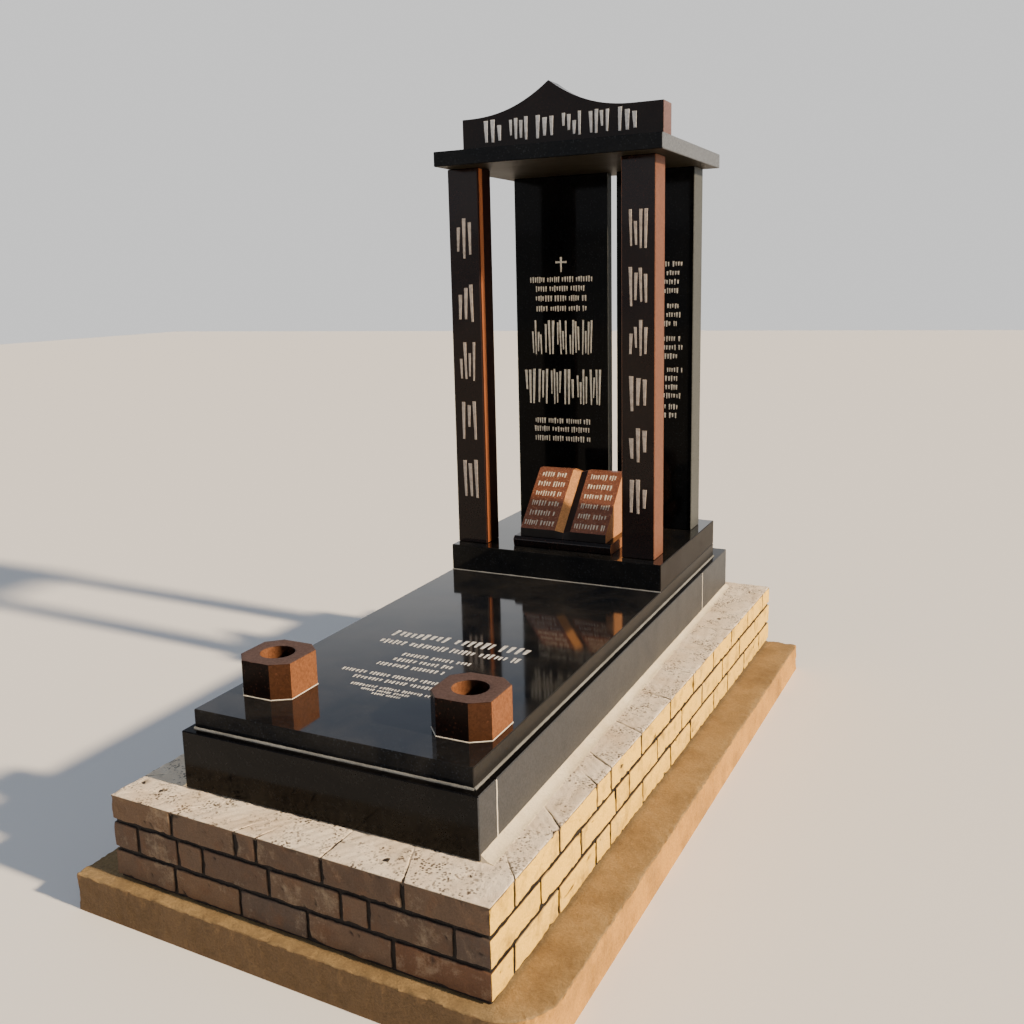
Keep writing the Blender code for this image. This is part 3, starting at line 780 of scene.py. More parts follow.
def polished_granite(name, body, cloud, fleck, grain, dull_faces, roughness=0.07, dust=0.0, gloss=0.5,
                     top_gloss=None):
    """Polished granite of which some faces are only sawn, or painted as lit or shaded stone.

    Crystals of one grain size take tones between body and cloud, and the smallest of
    them shine as flecks. A dull face is (axis, low, high, colour, share): where the
    normal's part along that axis goes from low to high, the stone is matt and has that
    colour. Wiping leaves smears that change the gloss, and a dusty film in the smears
    dulls the stone in patches.
    Faces that look up can shine more than the others.
    """
    made, tree, shader, place = new_material(name)
    crystals = add(tree, "ShaderNodeTexVoronoi", {"Vector": place, "Scale": 1 / grain})
    tone = add(tree, "ShaderNodeSeparateColor", {0: crystals.outputs["Color"]})
    mixed = add(tree, "ShaderNodeMix", {0: tone.outputs[0], 6: linear(body), 7: linear(cloud)},
                data_type="RGBA")
    bright = add(tree, "ShaderNodeMapRange",
                 {0: tone.outputs[1], 1: 0.93, 2: 0.97, 3: 0.0, 4: 0.7}).outputs[0]
    flecked = add(tree, "ShaderNodeMix", {0: bright, 6: mixed.outputs[2], 7: linear(fleck)}, data_type="RGBA")
    smear = add(tree, "ShaderNodeTexNoise",
                {"Vector": place, "Scale": per(SMEAR_MM), "Detail": 6.0, "Roughness": 0.6,
                 "Distortion": 0.6})
    film = add(tree, "ShaderNodeMapRange",
               {0: smear.outputs[0], 1: 0.35, 2: 0.75, 3: 0.0, 4: dust}).outputs[0]
    dusty = add(tree, "ShaderNodeMix", {0: film, 6: flecked.outputs[2], 7: linear(DUST)}, data_type="RGBA")
    normal = add(tree, "ShaderNodeTexCoord").outputs["Normal"]
    facing = add(tree, "ShaderNodeSeparateXYZ", {0: normal})
    grains = add(tree, "ShaderNodeMapRange", {0: tone.outputs[2], 1: 0.0, 2: 1.0, 3: 0.72, 4: 1.1}).outputs[0]
    colour = dusty.outputs[2]
    matt = film
    for number, (axis, low, high, face_colour, share) in enumerate(dull_faces):
        here = add(tree, "ShaderNodeMapRange",
                   {0: facing.outputs[axis], 1: low, 2: high, 3: 0.0, 4: share}).outputs[0]
        tinted = add(tree, "ShaderNodeMix", {0: 1.0, 6: linear(face_colour), 7: grains}, data_type="RGBA",
                     blend_type="MULTIPLY").outputs[2]
        colour = add(tree, "ShaderNodeMix", {0: here, 6: colour, 7: tinted}, data_type="RGBA").outputs[2]
        matt = add(tree, "ShaderNodeMath", {0: matt, 1: here},
                   operation="MAXIMUM").outputs[0] if number else here
    tree.links.new(colour, shader.inputs["Base Color"])
    if top_gloss is None:
        shader.inputs["Specular IOR Level"].default_value = gloss
    else:
        shine = add(tree, "ShaderNodeMapRange",
                    {0: facing.outputs["Z"], 1: 0.75, 2: 0.85, 3: gloss, 4: top_gloss})
        tree.links.new(shine.outputs[0], shader.inputs["Specular IOR Level"])
    wiped = add(tree, "ShaderNodeMapRange", {0: smear.outputs[0], 1: 0.35, 2: 0.75, 3: roughness,
                                             4: roughness * 2.2}).outputs[0]
    dull = add(tree, "ShaderNodeMath", {0: matt, 1: 0.4, 2: wiped}, operation="MULTIPLY_ADD").outputs[0]
    tree.links.new(dull, shader.inputs["Roughness"])
    wave = add(tree, "ShaderNodeTexNoise", {"Vector": place, "Scale": per(POLISH_WAVE_MM), "Detail": 1.0})
    relief = add(tree, "ShaderNodeBump", {"Height": wave.outputs[0], "Distance": 0.0006, "Strength": 0.25})
    tree.links.new(relief.outputs[0], shader.inputs["Normal"])
    return made


def finish_node(name, finish):
    """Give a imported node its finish."""
    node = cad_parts[name]
    node.data.materials.clear()
    node.data.materials.append(finish)


def bead(name, start, end, out, across, profile, finish, scales=(1.0, 1.0), seed=0, step=0.01,
         wobble=0.0004):
    """A profile of (out, across) points carried along a straight line, with a little noise.

    The profile is scaled from the first to the second of `scales` on its way.
    """
    start, end, out, across = (np.array(v, float) for v in (start, end, out, across))
    count = max(4, int(np.linalg.norm(end - start) / step))
    share = np.linspace(0, 1, count)[:, None, None]
    scale = scales[0] * (1 - share) + scales[1] * share
    shape = np.array(profile)[None]
    middle = start * (1 - share) + end * share
    points = middle + (shape[..., :1] * scale) * out + (shape[..., 1:] * scale) * across
    points = points + wobble * ripple(points, 0.03, seed)[..., None] * (out + across)
    return dress(name, skin(name, points), finish)


kerb_finish = polished_granite("polished black granite, kerbs", "#040405", "#08080a", "#17191b", FINE_GRAIN,
                               sawn_sides("#42454a", 0.8), roughness=0.1, dust=0.02, gloss=0.12)
for side in ("front", "rear", "left", "right"):
    finish_node(f"kerb_{side}", kerb_finish)

drop = np.linspace(0, 1, 9)
hollow = np.stack([drop, (1 - drop) ** FILLET_HOLLOW], -1) * (FILLET_W, FILLET_H)
fillet_points = np.concatenate([[(-BEAD_SUNK, -BEAD_BURIED)], hollow, [(FILLET_W, -BEAD_BURIED)]])
fillet_finish = trowelled_mortar("smooth cream mortar", "#e6d9bd", "#cdbb98", 0.15)
for hand, x, out, scales, seed in (("right", kerb_high.x, 1, (1.0, 0.53), 31),
                                   ("left", kerb_low.x, -1, (0.7, 0.6), 32)):
    bead(f"mortar_fillet_{hand}", (x, kerb_low.y + FILLET_START, BRICK_TOP - FILLET_SUNK),
         (x, kerb_high.y, BRICK_TOP - FILLET_SUNK), (out, 0, 0), (0, 0, 1), fillet_points,
         fillet_finish, scales=scales, seed=seed)

seam = [(-BEAD_SUNK, -JOINT_W / 2), (JOINT_PROUD, -JOINT_W / 2), (JOINT_PROUD * 1.4, 0.0),
        (JOINT_PROUD, JOINT_W / 2), (-BEAD_SUNK, JOINT_W / 2)]
seam_finish = trowelled_mortar("white joint cement", "#e9e3d3", "#cfc6b2", 0.1)
for hand, x, out in (("right", kerb_high.x, 1), ("left", kerb_low.x, -1)):
    for end, y in (("front", kerb_low.y + KERB_T), ("rear", kerb_high.y - KERB_REAR)):
        bead(f"kerb_joint_{end}_{hand}", (x, y, kerb_low.z + JOINT_FOOT), (x, y, kerb_high.z - JOINT_HEAD),
             (out, 0, 0), (0, 1, 0), seam, seam_finish, seed=33, wobble=0.0003)


# The ledger
# One wide polished slab that closes the kerb box, bedded in cement that was struck off
# as a thin bead round its foot. An inscription is cut in its middle and painted silver.

LEDGER_BEAD = 0.005
SILVER_LIFT = 0.0006
STROKE_LEAN = 0.03
STROKE_SLOPE = 0.74
STROKE_BURIED = 0.0004
PAINT_WEAR_MM = 14.29
LEDGER_ROWS = (
    (-0.385, 0.058, 0.470, 0.021, -0.004),
    (-0.462, 0.040, 0.500, 0.013, -0.008),
    (-0.545, 0.028, 0.240, 0.011, -0.003),
    (-0.590, 0.028, 0.203, 0.011, -0.025),
    (-0.636, 0.028, 0.229, 0.011, -0.040),
    (-0.713, 0.024, 0.444, 0.010, -0.010),
    (-0.751, 0.024, 0.312, 0.010, -0.010),
    (-0.800, 0.018, 0.262, 0.008, -0.010),
    (-0.822, 0.014, 0.168, 0.007, -0.010),
    (-0.841, 0.014, 0.089, 0.007, 0.002),
)


def wedge_row(centre, height, width, stroke, dice):
    """One row of strokes of uneven width and height, with a wider gap after every few.

    They stand nearly upright and apart, so that no two of them form a letter.
    Each entry is (along, up, width, height, lean); the row is centred on its middle.
    """
    entries = []
    reach = 0.0
    word = 0
    while reach < width:
        wide = stroke * dice.uniform(0.6, 1.0)
        tall = height * dice.uniform(0.62, 1.0)
        entries.append((reach + wide / 2, centre + dice.uniform(-0.15, 0.15) * (height - tall),
                        wide, tall, dice.uniform(-STROKE_LEAN, STROKE_LEAN) * height))
        word += 1
        gap = stroke * dice.uniform(0.25, 0.55)
        if word > dice.integers(4, 9):
            gap += stroke * 0.9
            word = 0
        reach += wide + gap
    entries = np.array(entries)
    entries[:, 0] -= reach / 2
    return entries


def strokes(name, entries, origin, along, up, out, finish, lift=SILVER_LIFT):
    """Shallow wedges on a flat face: broad at the head, narrow at the foot, with sloping sides.

    Each entry gives a wedge's middle, width, height and lean in the face's own plane.
    The eight corners of every wedge are worked out at once.
    """
    a, b, wide, tall, lean = (entries[:, k, None] for k in range(5))
    corner_a = np.array([-0.30, 0.30, 0.5, -0.5])
    corner_b = np.array([-0.5, -0.5, 0.5, 0.5])
    foot = np.stack([a + corner_a * wide + corner_b * lean, b + corner_b * tall], -1)
    top = np.stack([a + corner_a * wide * STROKE_SLOPE + corner_b * lean,
                    b + corner_b * (tall - wide * (1 - STROKE_SLOPE))], -1)
    flat = np.concatenate([foot, top], axis=1)
    rise = np.array([-STROKE_BURIED] * 4 + [lift] * 4)[None, :, None]
    origin, along, up, out = (np.array(v, float) for v in (origin, along, up, out))
    points = origin + flat[..., :1] * along + flat[..., 1:] * up + rise * out
    box_faces = np.array([(3, 2, 1, 0), (4, 5, 6, 7), (0, 1, 5, 4), (1, 2, 6, 5), (2, 3, 7, 6), (3, 0, 4, 7)])
    faces = (np.arange(len(entries))[:, None, None] * 8 + box_faces).reshape(-1, 4)
    mesh = bpy.data.meshes.new(name)
    mesh.from_pydata(points.reshape(-1, 3).tolist(), [], faces.tolist())
    return dress(name, tidy_mesh(mesh, math.radians(20)), finish)


def front_strokes(name, entries, y, finish, lift=SILVER_LIFT):
    """Strokes on an upright face that looks to the foot of the grave."""
    strokes(name, entries, (0, y, 0), (1, 0, 0), (0, 0, 1), (0, -1, 0), finish, lift)


def stroke_paint(name, colour, shade):
    """Silver paint rubbed into the cuts: satin, a little patchy."""
    made, tree, shader, place = new_material(name)
    wear = add(tree, "ShaderNodeTexNoise",
               {"Vector": place, "Scale": per(PAINT_WEAR_MM), "Detail": 4.0, "Roughness": 0.7})
    share = add(tree, "ShaderNodeMapRange", {0: wear.outputs[0], 1: 0.4, 2: 0.68, 3: 0.0, 4: 0.8}).outputs[0]
    mixed = add(tree, "ShaderNodeMix", {0: share, 6: linear(colour), 7: linear(shade)}, data_type="RGBA")
    tree.links.new(mixed.outputs[2], shader.inputs["Base Color"])
    shader.inputs["Roughness"].default_value = 0.5
    return made


ledger_low, ledger_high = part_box("ledger")
ledger_finish = polished_granite("polished black granite, ledger", "#07090c", "#0f1218", "#252a31",
                                 FINE_GRAIN, sawn_sides("#2c2b2a", 0.6), roughness=0.05, dust=0.08,
                                 gloss=0.04, top_gloss=1.3)
finish_node("ledger", ledger_finish)
quarter_round = [(-BEAD_SUNK, -BEAD_BURIED), (-BEAD_SUNK, LEDGER_BEAD)]
for t in np.linspace(0, math.pi / 2, 6):
    quarter_round.append((LEDGER_BEAD * math.sin(t), LEDGER_BEAD * math.cos(t)))
quarter_round.append((LEDGER_BEAD, -BEAD_BURIED))
head_low, head_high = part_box("head_plinth")


def foot_beads(name, low, high, z, profile, finish, scale):
    """A bead along each side of a slab's foot, standing on what carries it at height z."""
    runs = (
        ("front", (low.x, low.y), (high.x, low.y), (0, -1, 0)),
        ("right", (high.x, low.y), (high.x, high.y), (1, 0, 0)),
        ("rear", (high.x, high.y), (low.x, high.y), (0, 1, 0)),
        ("left", (low.x, high.y), (low.x, low.y), (-1, 0, 0)),
    )
    for number, (side, start, end, out) in enumerate(runs):
        bead(f"{name}_{side}", (*start, z), (*end, z), out, (0, 0, 1), profile, finish,
             scales=(scale, scale), seed=50 + number)


# The bead's grey, all round, stands for the pale cement in the front's shade: painted shade.
bed_finish = trowelled_mortar("struck bed cement", "#7b7d7c", "#5a5b58", 0.0)
foot_beads("ledger_bead", ledger_low, ledger_high, kerb_high.z, quarter_round, bed_finish, 1.0)
silver = stroke_paint("silver paint in the ledger's cuts", "#d9d9d6", "#8f8f8d")
dice = np.random.default_rng(70)
rows = [wedge_row(y, h, w, s, dice) + (x, 0, 0, 0, 0) for y, h, w, s, x in LEDGER_ROWS]
strokes("ledger_inscription", np.concatenate(rows), (0, 0, ledger_high.z), (1, 0, 0), (0, 1, 0), (0, 0, 1),
        silver)


# The head plinth
# A thick black slab flush with the ledger's sides. It spreads the load of the pillars,
# the tablets and the roof.

HEAD_BEAD = 0.5

head_finish = polished_granite("polished black granite, head plinth", "#060708", "#0c0d10", "#202327",
                               FINE_GRAIN, sawn_sides("#1c1917", 0.8), roughness=0.06, dust=0.05,
                               gloss=0.06, top_gloss=1.3)
finish_node("head_plinth", head_finish)
# Grey, as the pale cement looks in the front's shade: painted shade.
head_bead_finish = trowelled_mortar("grey bed cement", "#888a89", "#6a6b67", 0.0)
bead("head_bead_front", (head_low.x, head_low.y, ledger_high.z), (head_high.x, head_low.y, ledger_high.z),
     (0, -1, 0), (0, 0, 1), quarter_round, head_bead_finish, scales=(HEAD_BEAD, HEAD_BEAD), seed=56)


# The pillars
# Two square posts of red-brown granite, polished on their fronts and only sawn on their
# sides. Each bears a column of large marks, cut shallow and painted grey.

LEFT_MARKS = ((1.877, 0.150), (1.633, 0.142), (1.410, 0.150), (1.179, 0.152), (0.946, 0.154))
RIGHT_MARKS = ((1.883, 0.136), (1.683, 0.138), (1.502, 0.128), (1.301, 0.128), (1.113, 0.126), (0.921, 0.130))
MARK_W = 0.074
MARK_STROKE = 0.022
MARK_FILL = 0.78
# Place, half width and colour of the painted sunlit strip on the left pillar's right face.
SUNLIT_STRIP_AT = 0.026
SUNLIT_STRIP_HALF = 0.014
SUNLIT_STRIP_COLOUR = "#a0603c"
MARK_LIFT = 0.001


def large_mark(middle, centre, height, width, stroke, dice):
    """A group of three or four tall wedges that fills one place of a row or column.

    They stand nearly upright and apart, so that a group forms no letter.
    """
    count = int(dice.integers(3, 5))
    pitch = width / count
    spots = (np.arange(count) - (count - 1) / 2) * pitch
    tall = height * dice.uniform(0.5, 1.0, count)
    tall[int(dice.integers(0, count))] = height
    shift = dice.uniform(-0.5, 0.5, count) * (height - tall)
    wide = min(stroke, pitch * MARK_FILL) * dice.uniform(0.8, 1.0, count)
    lean = dice.uniform(-STROKE_LEAN, STROKE_LEAN, count) * height
    return np.stack([middle + spots, centre + shift, wide, tall, lean], -1)


# The left pillar's sides are painted far darker than the right's: painted shade, since its right side lies in
# the right pillar's shadow.
pillar_finishes = {
    hand: polished_granite(f"polished red-brown granite, {hand} pillar", "#100605", "#150807", "#1f0f0c",
                           COARSE_GRAIN, sawn_sides(side, 0.95), roughness=0.08, dust=0.02, gloss=0.15)
    for hand, side in (("left", "#24120e"), ("right", "#6d4633"))
}
# A painted sunlit strip near the front of the left pillar's right face: painted light, with the rest of that
# face left in painted shade.
left_tree = pillar_finishes["left"].node_tree
left_shader = left_tree.nodes["Principled BSDF"]
left_low, left_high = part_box("pillar_left")
here = add(left_tree, "ShaderNodeSeparateXYZ", {0: add(left_tree, "ShaderNodeTexCoord").outputs["Object"]})
inside = add(left_tree, "ShaderNodeMath", {0: here.outputs["Y"], 1: left_low.y + SUNLIT_STRIP_AT, 2: SUNLIT_STRIP_HALF},
             operation="COMPARE").outputs[0]
right_face = add(left_tree, "ShaderNodeMath", {0: here.outputs["X"], 1: left_high.x - 0.001},
                 operation="GREATER_THAN").outputs[0]
painted_sunlit_strip = add(left_tree, "ShaderNodeMath", {0: inside, 1: right_face}, operation="MULTIPLY").outputs[0]
body = left_shader.inputs["Base Color"].links[0].from_socket
with_sunlit_strip = add(left_tree, "ShaderNodeMix", {0: painted_sunlit_strip, 6: body, 7: linear(SUNLIT_STRIP_COLOUR)},
              data_type="RGBA").outputs[2]
left_tree.links.new(with_sunlit_strip, left_shader.inputs["Base Color"])
mark_paint = stroke_paint("grey paint in the pillars' cuts", "#b5a79a", "#7c7066")
for name, marks, seed in (("pillar_left", LEFT_MARKS, 81), ("pillar_right", RIGHT_MARKS, 82)):
    finish_node(name, pillar_finishes[name.split("_")[1]])
    low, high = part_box(name)
    dice = np.random.default_rng(seed)
    middle = (low.x + high.x) / 2
    entries = [large_mark(middle, z, h, MARK_W, MARK_STROKE, dice) for z, h in marks]
    front_strokes(f"{name}_marks", np.concatenate(entries), low.y, mark_paint, MARK_LIFT)


# The tablets
# Two tall polished black slabs behind the pillars, close together but not touching. The
# wide one has a plain cross, small rows and two large rows; the narrow one has small rows.

LEFT_ROWS = ((1.7155, 0.277), (1.6775, 0.225), (1.6375, 0.227), (1.5950, 0.222),
             (1.1185, 0.250), (1.0825, 0.250), (1.0420, 0.256))
LEFT_ROW_H = 0.026
LEFT_LARGE = ((1.475, 0.144, 0.285, 5), (1.266, 0.150, 0.358, 6))
RIGHT_ROWS = (1.765, 1.730, 1.695, 1.660, 1.600, 1.565, 1.530, 1.470,
              1.435, 1.400, 1.345, 1.310, 1.275, 1.240, 1.195, 1.160)
CROSS_Z = 1.776
CROSS_SIZE = (0.050, 0.062)
CROSS_BAR = 0.010
CROSS_ARM_UP = 0.010
LARGE_SHARE = 0.86
LARGE_STROKE = 0.015
RIGHT_ROW_H = 0.024
RIGHT_ROW_W = (0.19, 0.05)
SMALL_STROKE = 0.009

tablet_finish = polished_granite("polished black granite, tablets", "#040405", "#08090b", "#17191c",
                                 FINE_GRAIN, sawn_sides("#4c4f4e", 0.9), roughness=0.05, dust=0.01,
                                 gloss=0.05)
tablet_paint = stroke_paint("silver paint in the tablets' cuts", "#cfc9ba", "#8d887c")
left_low, left_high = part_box("tablet_left")
right_low, right_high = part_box("tablet_right")
finish_node("tablet_left", tablet_finish)
finish_node("tablet_right", tablet_finish)
dice = np.random.default_rng(90)
middle = (left_low.x + left_high.x) / 2
entries = [wedge_row(z, LEFT_ROW_H, w, SMALL_STROKE, dice) + (middle, 0, 0, 0, 0) for z, w in LEFT_ROWS]
for z, h, w, count in LEFT_LARGE:
    cell = w / count
    spots = (np.arange(count) - (count - 1) / 2) * cell
    entries += [large_mark(middle + spot, z, h, cell * LARGE_SHARE, LARGE_STROKE, dice) for spot in spots]
bar_up = np.array([[middle, CROSS_Z, CROSS_BAR, CROSS_SIZE[1], 0.0]])
front_strokes("tablet_left_inscription", np.concatenate(entries), left_low.y, tablet_paint)
front_strokes("tablet_cross_upright", bar_up, left_low.y, tablet_paint)
for hand, sign in (("left", -1), ("right", 1)):
    arm = np.array([[0.0, CROSS_SIZE[0] / 4, CROSS_BAR, CROSS_SIZE[0] / 2, 0.0]])
    strokes(f"tablet_cross_{hand}", arm, (middle, left_low.y, CROSS_Z + CROSS_ARM_UP),
            (0, 0, 1), (sign, 0, 0), (0, -1, 0), tablet_paint)
middle = (right_low.x + right_high.x) / 2
entries = []
for z in RIGHT_ROWS:
    width = RIGHT_ROW_W[0] + RIGHT_ROW_W[1] * dice.uniform()
    entries.append(wedge_row(z, RIGHT_ROW_H, width, SMALL_STROKE, dice) + (middle, 0, 0, 0, 0))
front_strokes("tablet_right_inscription", np.concatenate(entries), right_low.y, tablet_paint)


# The roof slab
# One black slab laid over the pillars and tablets. Its front edge is polished; its ends
# and its underside are only sawn.

# The sawn underside's olive-brown is a painted reflection of the lit ground below it.
roof_finish = polished_granite("polished black granite, roof", "#060709", "#0c0e11", "#202327", FINE_GRAIN,
                               (*sawn_sides("#626870", 0.95), ("Z", -0.70, -0.80, "#26221a", 1.0)),
                               roughness=0.07, dust=0.02, gloss=0.06, top_gloss=0.5)
finish_node("roof_slab", roof_finish)


# The name board
# A red-brown slab that stands on edge on the roof. Its top sweeps up in two hollow curves
# to a point. It bears a row of large marks.

BOARD_MARKS = 6
BOARD_MARK_H = 0.082
BOARD_MARK_SPAN = 0.630
BOARD_MARK_Z = 2.263
BOARD_MARK_SHIFT = -0.003
BOARD_SHARE = 0.78
BOARD_STROKE = 0.020

board_finish = polished_granite("polished red-brown granite, board", "#0d0606", "#130907", "#1e100d",
                                COARSE_GRAIN, sawn_sides("#6b5553", 0.95), roughness=0.08, dust=0.02,
                                gloss=0.1)
finish_node("name_board", board_finish)
board_low, board_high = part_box("name_board")
middle = (board_low.x + board_high.x) / 2 + BOARD_MARK_SHIFT
cell = BOARD_MARK_SPAN / BOARD_MARKS
dice = np.random.default_rng(95)
entries = [
    large_mark(middle + (k - (BOARD_MARKS - 1) / 2) * cell, BOARD_MARK_Z, BOARD_MARK_H,
               cell * BOARD_SHARE, BOARD_STROKE, dice)
    for k in range(BOARD_MARKS)
]
board_paint = stroke_paint("silver paint in the board's cuts", "#c9c9c9", "#9c9a98")
front_strokes("name_board_marks", np.concatenate(entries), board_low.y, board_paint, MARK_LIFT)


# The book
# An open book carved from one block of brown granite. Two flat pages slope up from a lip
# and fall into a gutter. It stands on a low block with a rounded nose. The book's faces
# that look right are painted lit orange, those that look left and to the front near black,
# and its ends copper; the block is painted near black with copper sides: painted light
# and shade on one stone.

BOOK_W = 0.356
BOOK_LIP = 0.032
BOOK_SLOPE_RUN = 0.200
BOOK_SLOPE_RISE = 0.205
BOOK_TOP_D = 0.030
BOOK_GUTTER_W = 0.032
BOOK_GUTTER_DEPTH = 0.013
GROOVE = 0.003
SLAB_BACK = 0.047
PAGE_ROWS = 6
PAGE_ROW_W = 0.126
PAGE_ROW_H = 0.027
PAGE_ROWS_FROM = 0.10
PAGE_ROWS_OVER = 0.80
PAGE_EDGE = (0.0, 0.0008, 0.003)
EDGE_FALL = 0.002
WEDGE_INSET = 0.002
CORE_INSET = 0.009
CORE_LIFT = 0.006

# Painted light and shade: faces that look right lit orange, those that look left and the front near black,
# the ends copper.
book_finish = polished_granite("polished copper-brown granite", "#6a4131", "#83523d", "#a9785a", FINE_GRAIN,
                               (("X", 0.24, 0.30, "#c98d55", 0.95), ("X", -0.24, -0.30, "#0a0504", 0.95),
                                *sawn_sides("#b97f50", 0.9), ("Y", -0.85, -0.93, "#0c0605", 1.0)),
                               roughness=0.2, dust=0.03, gloss=0.3)
# The block's near-black body is painted shade and its copper sides painted sunlight, on the same brown stone
# as the book.
rest_finish = polished_granite("polished brown granite, painted shade and sunlit sides", "#0c0706", "#150b09", "#34211a", FINE_GRAIN,
                               sawn_sides("#9a6440", 0.9), roughness=0.12, dust=0.02, gloss=0.25)
book_low, book_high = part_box("book")
finish_node("book_rest", rest_finish)
book_middle = (book_low.x + book_high.x) / 2
book_y = book_high.y - BOOK_SLOPE_RUN - BOOK_TOP_D
book_z = book_low.z
slope_length = math.hypot(BOOK_SLOPE_RUN, BOOK_SLOPE_RISE)
page_out = (0.0, -BOOK_SLOPE_RISE / slope_length, BOOK_SLOPE_RUN / slope_length)
page_up = (0.0, BOOK_SLOPE_RUN / slope_length, BOOK_SLOPE_RISE / slope_length)


def book_slab():
    """The leaning pages: a side profile carried across, sunk into the gutter by a straight V."""
    half = BOOK_W / 2
    edge = np.array(PAGE_EDGE)
    across = np.concatenate([-half + edge, np.linspace(-half + 0.01, -BOOK_GUTTER_W, 12),
                             [-BOOK_GUTTER_W + 0.002, -BOOK_GUTTER_W / 2, -0.002, 0.0]])
    across = np.concatenate([across, -across[-2::-1]])
    shift = np.minimum(np.abs(across) / BOOK_GUTTER_W, 1.0)
    sink = -BOOK_GUTTER_DEPTH * (1 - shift)
    round_off = -EDGE_FALL * (np.abs(across) > half - 0.0004)
    rise = (sink + round_off)[:, None]
    share = np.concatenate([[0.0, 0.01], np.linspace(0.04, 0.97, 14), [1.0]])[None]
    page_y = book_y + BOOK_SLOPE_RUN * share + page_out[1] * rise
    page_z = book_z + BOOK_LIP + BOOK_SLOPE_RISE * share + page_out[2] * rise
    page_y = np.maximum(page_y, book_y)
    columns = across.size
    steep = BOOK_SLOPE_RISE / BOOK_SLOPE_RUN
    back_y = book_y + BOOK_SLOPE_RUN + BOOK_TOP_D
    groove_z = book_z + (back_y - book_y - SLAB_BACK) * steep
    tail_y = np.broadcast_to([back_y, back_y, book_y + SLAB_BACK, book_y], (columns, 4))
    tail_z = np.broadcast_to([0.0, groove_z + GROOVE, book_z, book_z], (columns, 4)).copy()
    tail_z[:, 0] = page_z[:, -1]
    y = np.concatenate([page_y, tail_y], 1)
    z = np.concatenate([page_z, tail_z], 1)
    x = np.broadcast_to(across[:, None], y.shape) + book_middle
    return np.stack([x, y, z], -1)


def book_wedge(inset, lift):
    """The wedge behind the pages, or the core that joins both, as a profile carried across."""
    half = BOOK_W / 2 - inset
    steep = BOOK_SLOPE_RISE / BOOK_SLOPE_RUN
    back_y = book_y + BOOK_SLOPE_RUN + BOOK_TOP_D
    foot_y = book_y + SLAB_BACK + GROOVE
    profile = np.array([
        (foot_y - lift, book_z),
        (back_y - 0.001, book_z),
        (back_y - 0.001, book_z + (back_y - foot_y + lift) * steep),
    ])
    x = np.array([-half, -half + 0.001, half - 0.001, half]) + book_middle
    grown = np.array([0.999, 1.0, 1.0, 0.999])[:, None, None]
    centre = profile.mean(0)
    flat = centre + (profile - centre)[None] * grown
    return np.concatenate([np.broadcast_to(x[:, None, None], (4, 3, 1)), flat], -1)


def merged(name, grids, smooth):
    """One mesh from several capped grids."""
    bm = bmesh.new()
    for grid in grids:
        part = skin(name, grid, smooth=smooth)
        bm.from_mesh(part)
        bpy.data.meshes.remove(part)
    mesh = bpy.data.meshes.new(name)
    bm.to_mesh(mesh)
    bm.free()
    mesh.shade_smooth()
    mesh.set_sharp_from_angle(angle=smooth)
    return mesh


book_mesh = merged("open_book", [book_slab(), book_wedge(WEDGE_INSET, 0.0),
                                 book_wedge(CORE_INSET, CORE_LIFT)], math.radians(15))
dress("open_book", book_mesh, book_finish, ["book"])
page_paint = stroke_paint("silver paint in the pages' cuts", "#d8cdb9", "#a08f78")
dice = np.random.default_rng(97)
entries = []
for side in (-1, 1):
    page_middle = side * (BOOK_W / 2 + BOOK_GUTTER_W) / 2
    for k in range(PAGE_ROWS):
        up = slope_length * (PAGE_ROWS_FROM + PAGE_ROWS_OVER * k / (PAGE_ROWS - 1))
        width = PAGE_ROW_W * dice.uniform(0.8, 1.0)
        entries.append(wedge_row(up, PAGE_ROW_H, width, SMALL_STROKE, dice) + (page_middle, 0, 0, 0, 0))
strokes("book_inscription", np.concatenate(entries), (book_middle, book_y, book_z + BOOK_LIP), (1, 0, 0),
        page_up, page_out, page_paint)


# The vases
# Two squat blocks of brown granite with cut corners and a round well, polished in front
# and matt elsewhere, bedded on the ledger in a thin bead of sealant. Their side faces are
# painted copper and their tops a greyer brown: painted light on a near-black stone.

VASE_ARRIS = 0.0022
VASE_CUTS = ((0.038, 0.043), (0.050, 0.032), (0.040, 0.036), (0.043, 0.039))
VASE_WELL_R = 0.049
VASE_FLOOR = 0.020
VASE_STEPS = 12
SEALANT = 0.0020
SEALANT_STEPS = 6


def vase_outline(half, grow, each):
    """Points round a rectangle with cut corners of which all sides are moved outwards by a distance.

    A corner's cut runs across and along; moving its sides by a distance changes both so
    that the slant between them moves by the same distance.
    """
    wide = half[0] + grow
    deep = half[1] + grow
    runs = []
    for across, along in VASE_CUTS:
        slant = math.hypot(across, along)
        runs.append((across + grow * (1 - (slant - across) / along),
                     along + grow * (1 - (slant - along) / across)))
    front_left, front_right, rear_right, rear_left = runs
    corners = np.array([
        (front_left[0] - wide, -deep), (wide - front_right[0], -deep),
        (wide, front_right[1] - deep), (wide, deep - rear_right[1]),
        (wide - rear_right[0], deep), (rear_left[0] - wide, deep),
        (-wide, deep - rear_left[1]), (-wide, front_left[1] - deep),
    ])
    share = np.arange(each)[None, :, None] / each
    edges = corners[:, None] * (1 - share) + np.roll(corners, -1, axis=0)[:, None] * share
    return edges.reshape(-1, 2)


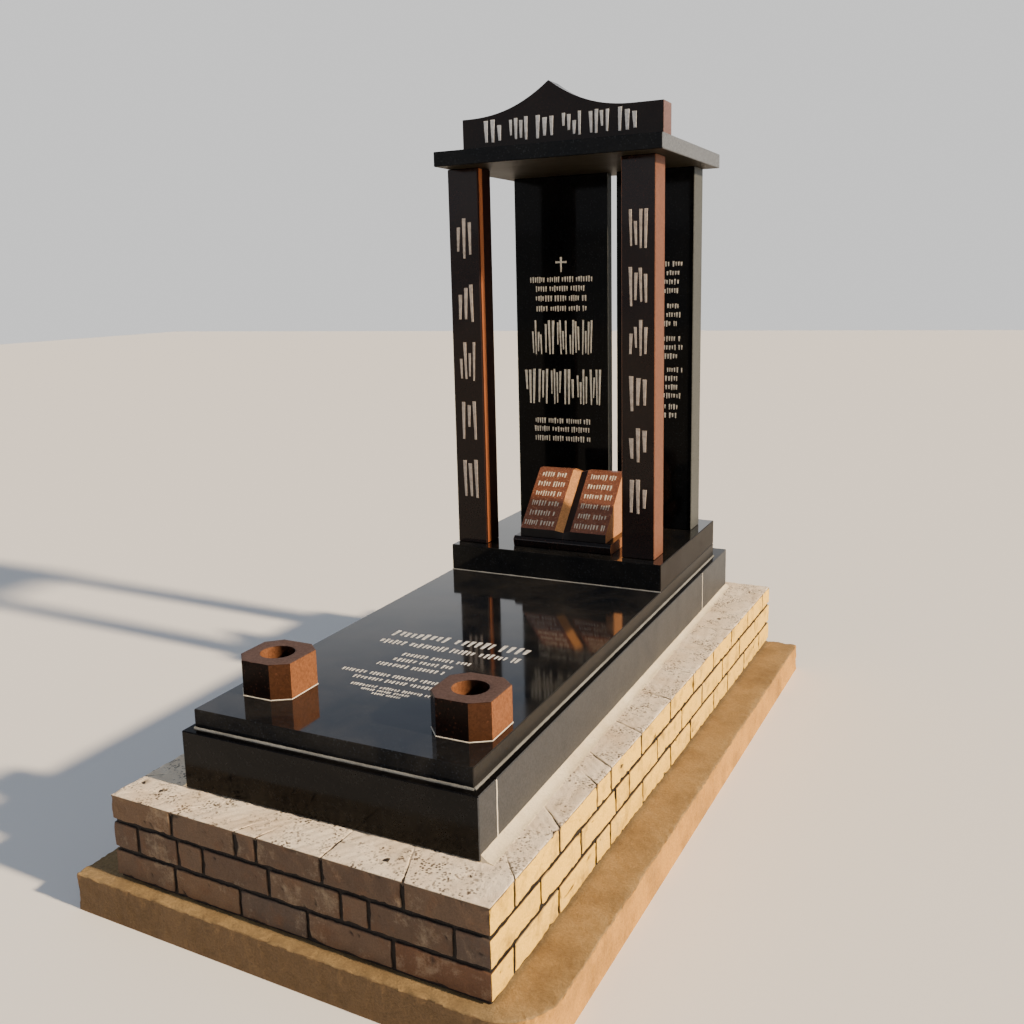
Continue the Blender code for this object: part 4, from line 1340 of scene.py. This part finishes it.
def vase_rings(low, high):
    """The vase from its foot up the wall, over the arris, across the top and down the well.

    Across the top each ring is part outline and part circle, in a growing share.
    """
    half = ((high.x - low.x) / 2, (high.y - low.y) / 2)
    arc = np.linspace(0, math.pi / 2, 4)
    wall = vase_outline(half, 0.0, VASE_STEPS)
    angle = np.arctan2(wall[:, 1], wall[:, 0])
    circle = np.stack([np.cos(angle), np.sin(angle)], -1)
    rows = [(wall, z) for z in np.linspace(low.z, high.z - VASE_ARRIS, 6)]
    for t in arc[1:]:
        rim = vase_outline(half, -VASE_ARRIS * (1 - math.cos(t)), VASE_STEPS)
        rows.append((rim, high.z - VASE_ARRIS * (1 - math.sin(t))))
    rim = vase_outline(half, -VASE_ARRIS, VASE_STEPS)
    lip = VASE_WELL_R + VASE_ARRIS
    for share in (0.25, 0.5, 0.75, 1.0):
        rows.append((rim * (1 - share) + circle * lip * share, high.z))
    for t in arc[1:]:
        rows.append((circle * (lip - VASE_ARRIS * math.sin(t)), high.z - VASE_ARRIS * (1 - math.cos(t))))
    for z in np.linspace(high.z - 2 * VASE_ARRIS, low.z + VASE_FLOOR, 8):
        rows.append((circle * VASE_WELL_R, z))
    flat = np.stack([ring for ring, z in rows])
    z = np.array([z for ring, z in rows])
    points = np.concatenate([flat, np.broadcast_to(z[:, None, None], (*flat.shape[:2], 1))], -1)
    return points + ((low.x + high.x) / 2, (low.y + high.y) / 2, 0)


# Painted light: the side faces are painted copper, as the stone looks in sunlight, and the top a greyer
# brown.
vase_lit_faces = (
    ("X", 0.40, 1.0, "#7e5338", 0.95),
    ("X", -0.80, -0.95, "#7f4f31", 0.95),
    ("Z", 0.75, 0.85, "#5a4a47", 0.9),
)
vase_finish = polished_granite("copper-brown granite, painted sunlit faces", "#0c0604", "#180b07", "#3a2218", COARSE_GRAIN,
                               vase_lit_faces, roughness=0.2, dust=0.01, gloss=0.06)
sealant_finish = trowelled_mortar("pale silicone sealant", "#e3ddcf", "#c9c0ac", 0.0)
for hand in ("left", "right"):
    low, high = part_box(f"vase_{hand}")
    dress(f"vase_block_{hand}", skin(f"vase_block_{hand}", vase_rings(low, high), smooth=math.radians(30)),
          vase_finish, [f"vase_{hand}"])
    half = ((high.x - low.x) / 2, (high.y - low.y) / 2)
    turns = np.linspace(0, 2 * math.pi, 7)
    loops = [vase_outline(half, SEALANT * math.cos(t), SEALANT_STEPS) for t in turns]
    z = low.z + SEALANT * np.sin(turns) * 0.8
    loops = np.concatenate([np.stack(loops), np.broadcast_to(z[:, None, None], (7, len(loops[0]), 1))], -1)
    loops += ((low.x + high.x) / 2, (low.y + high.y) / 2, 0)
    dress(f"vase_sealant_{hand}", skin(f"vase_sealant_{hand}", loops, capped=False), sealant_finish)
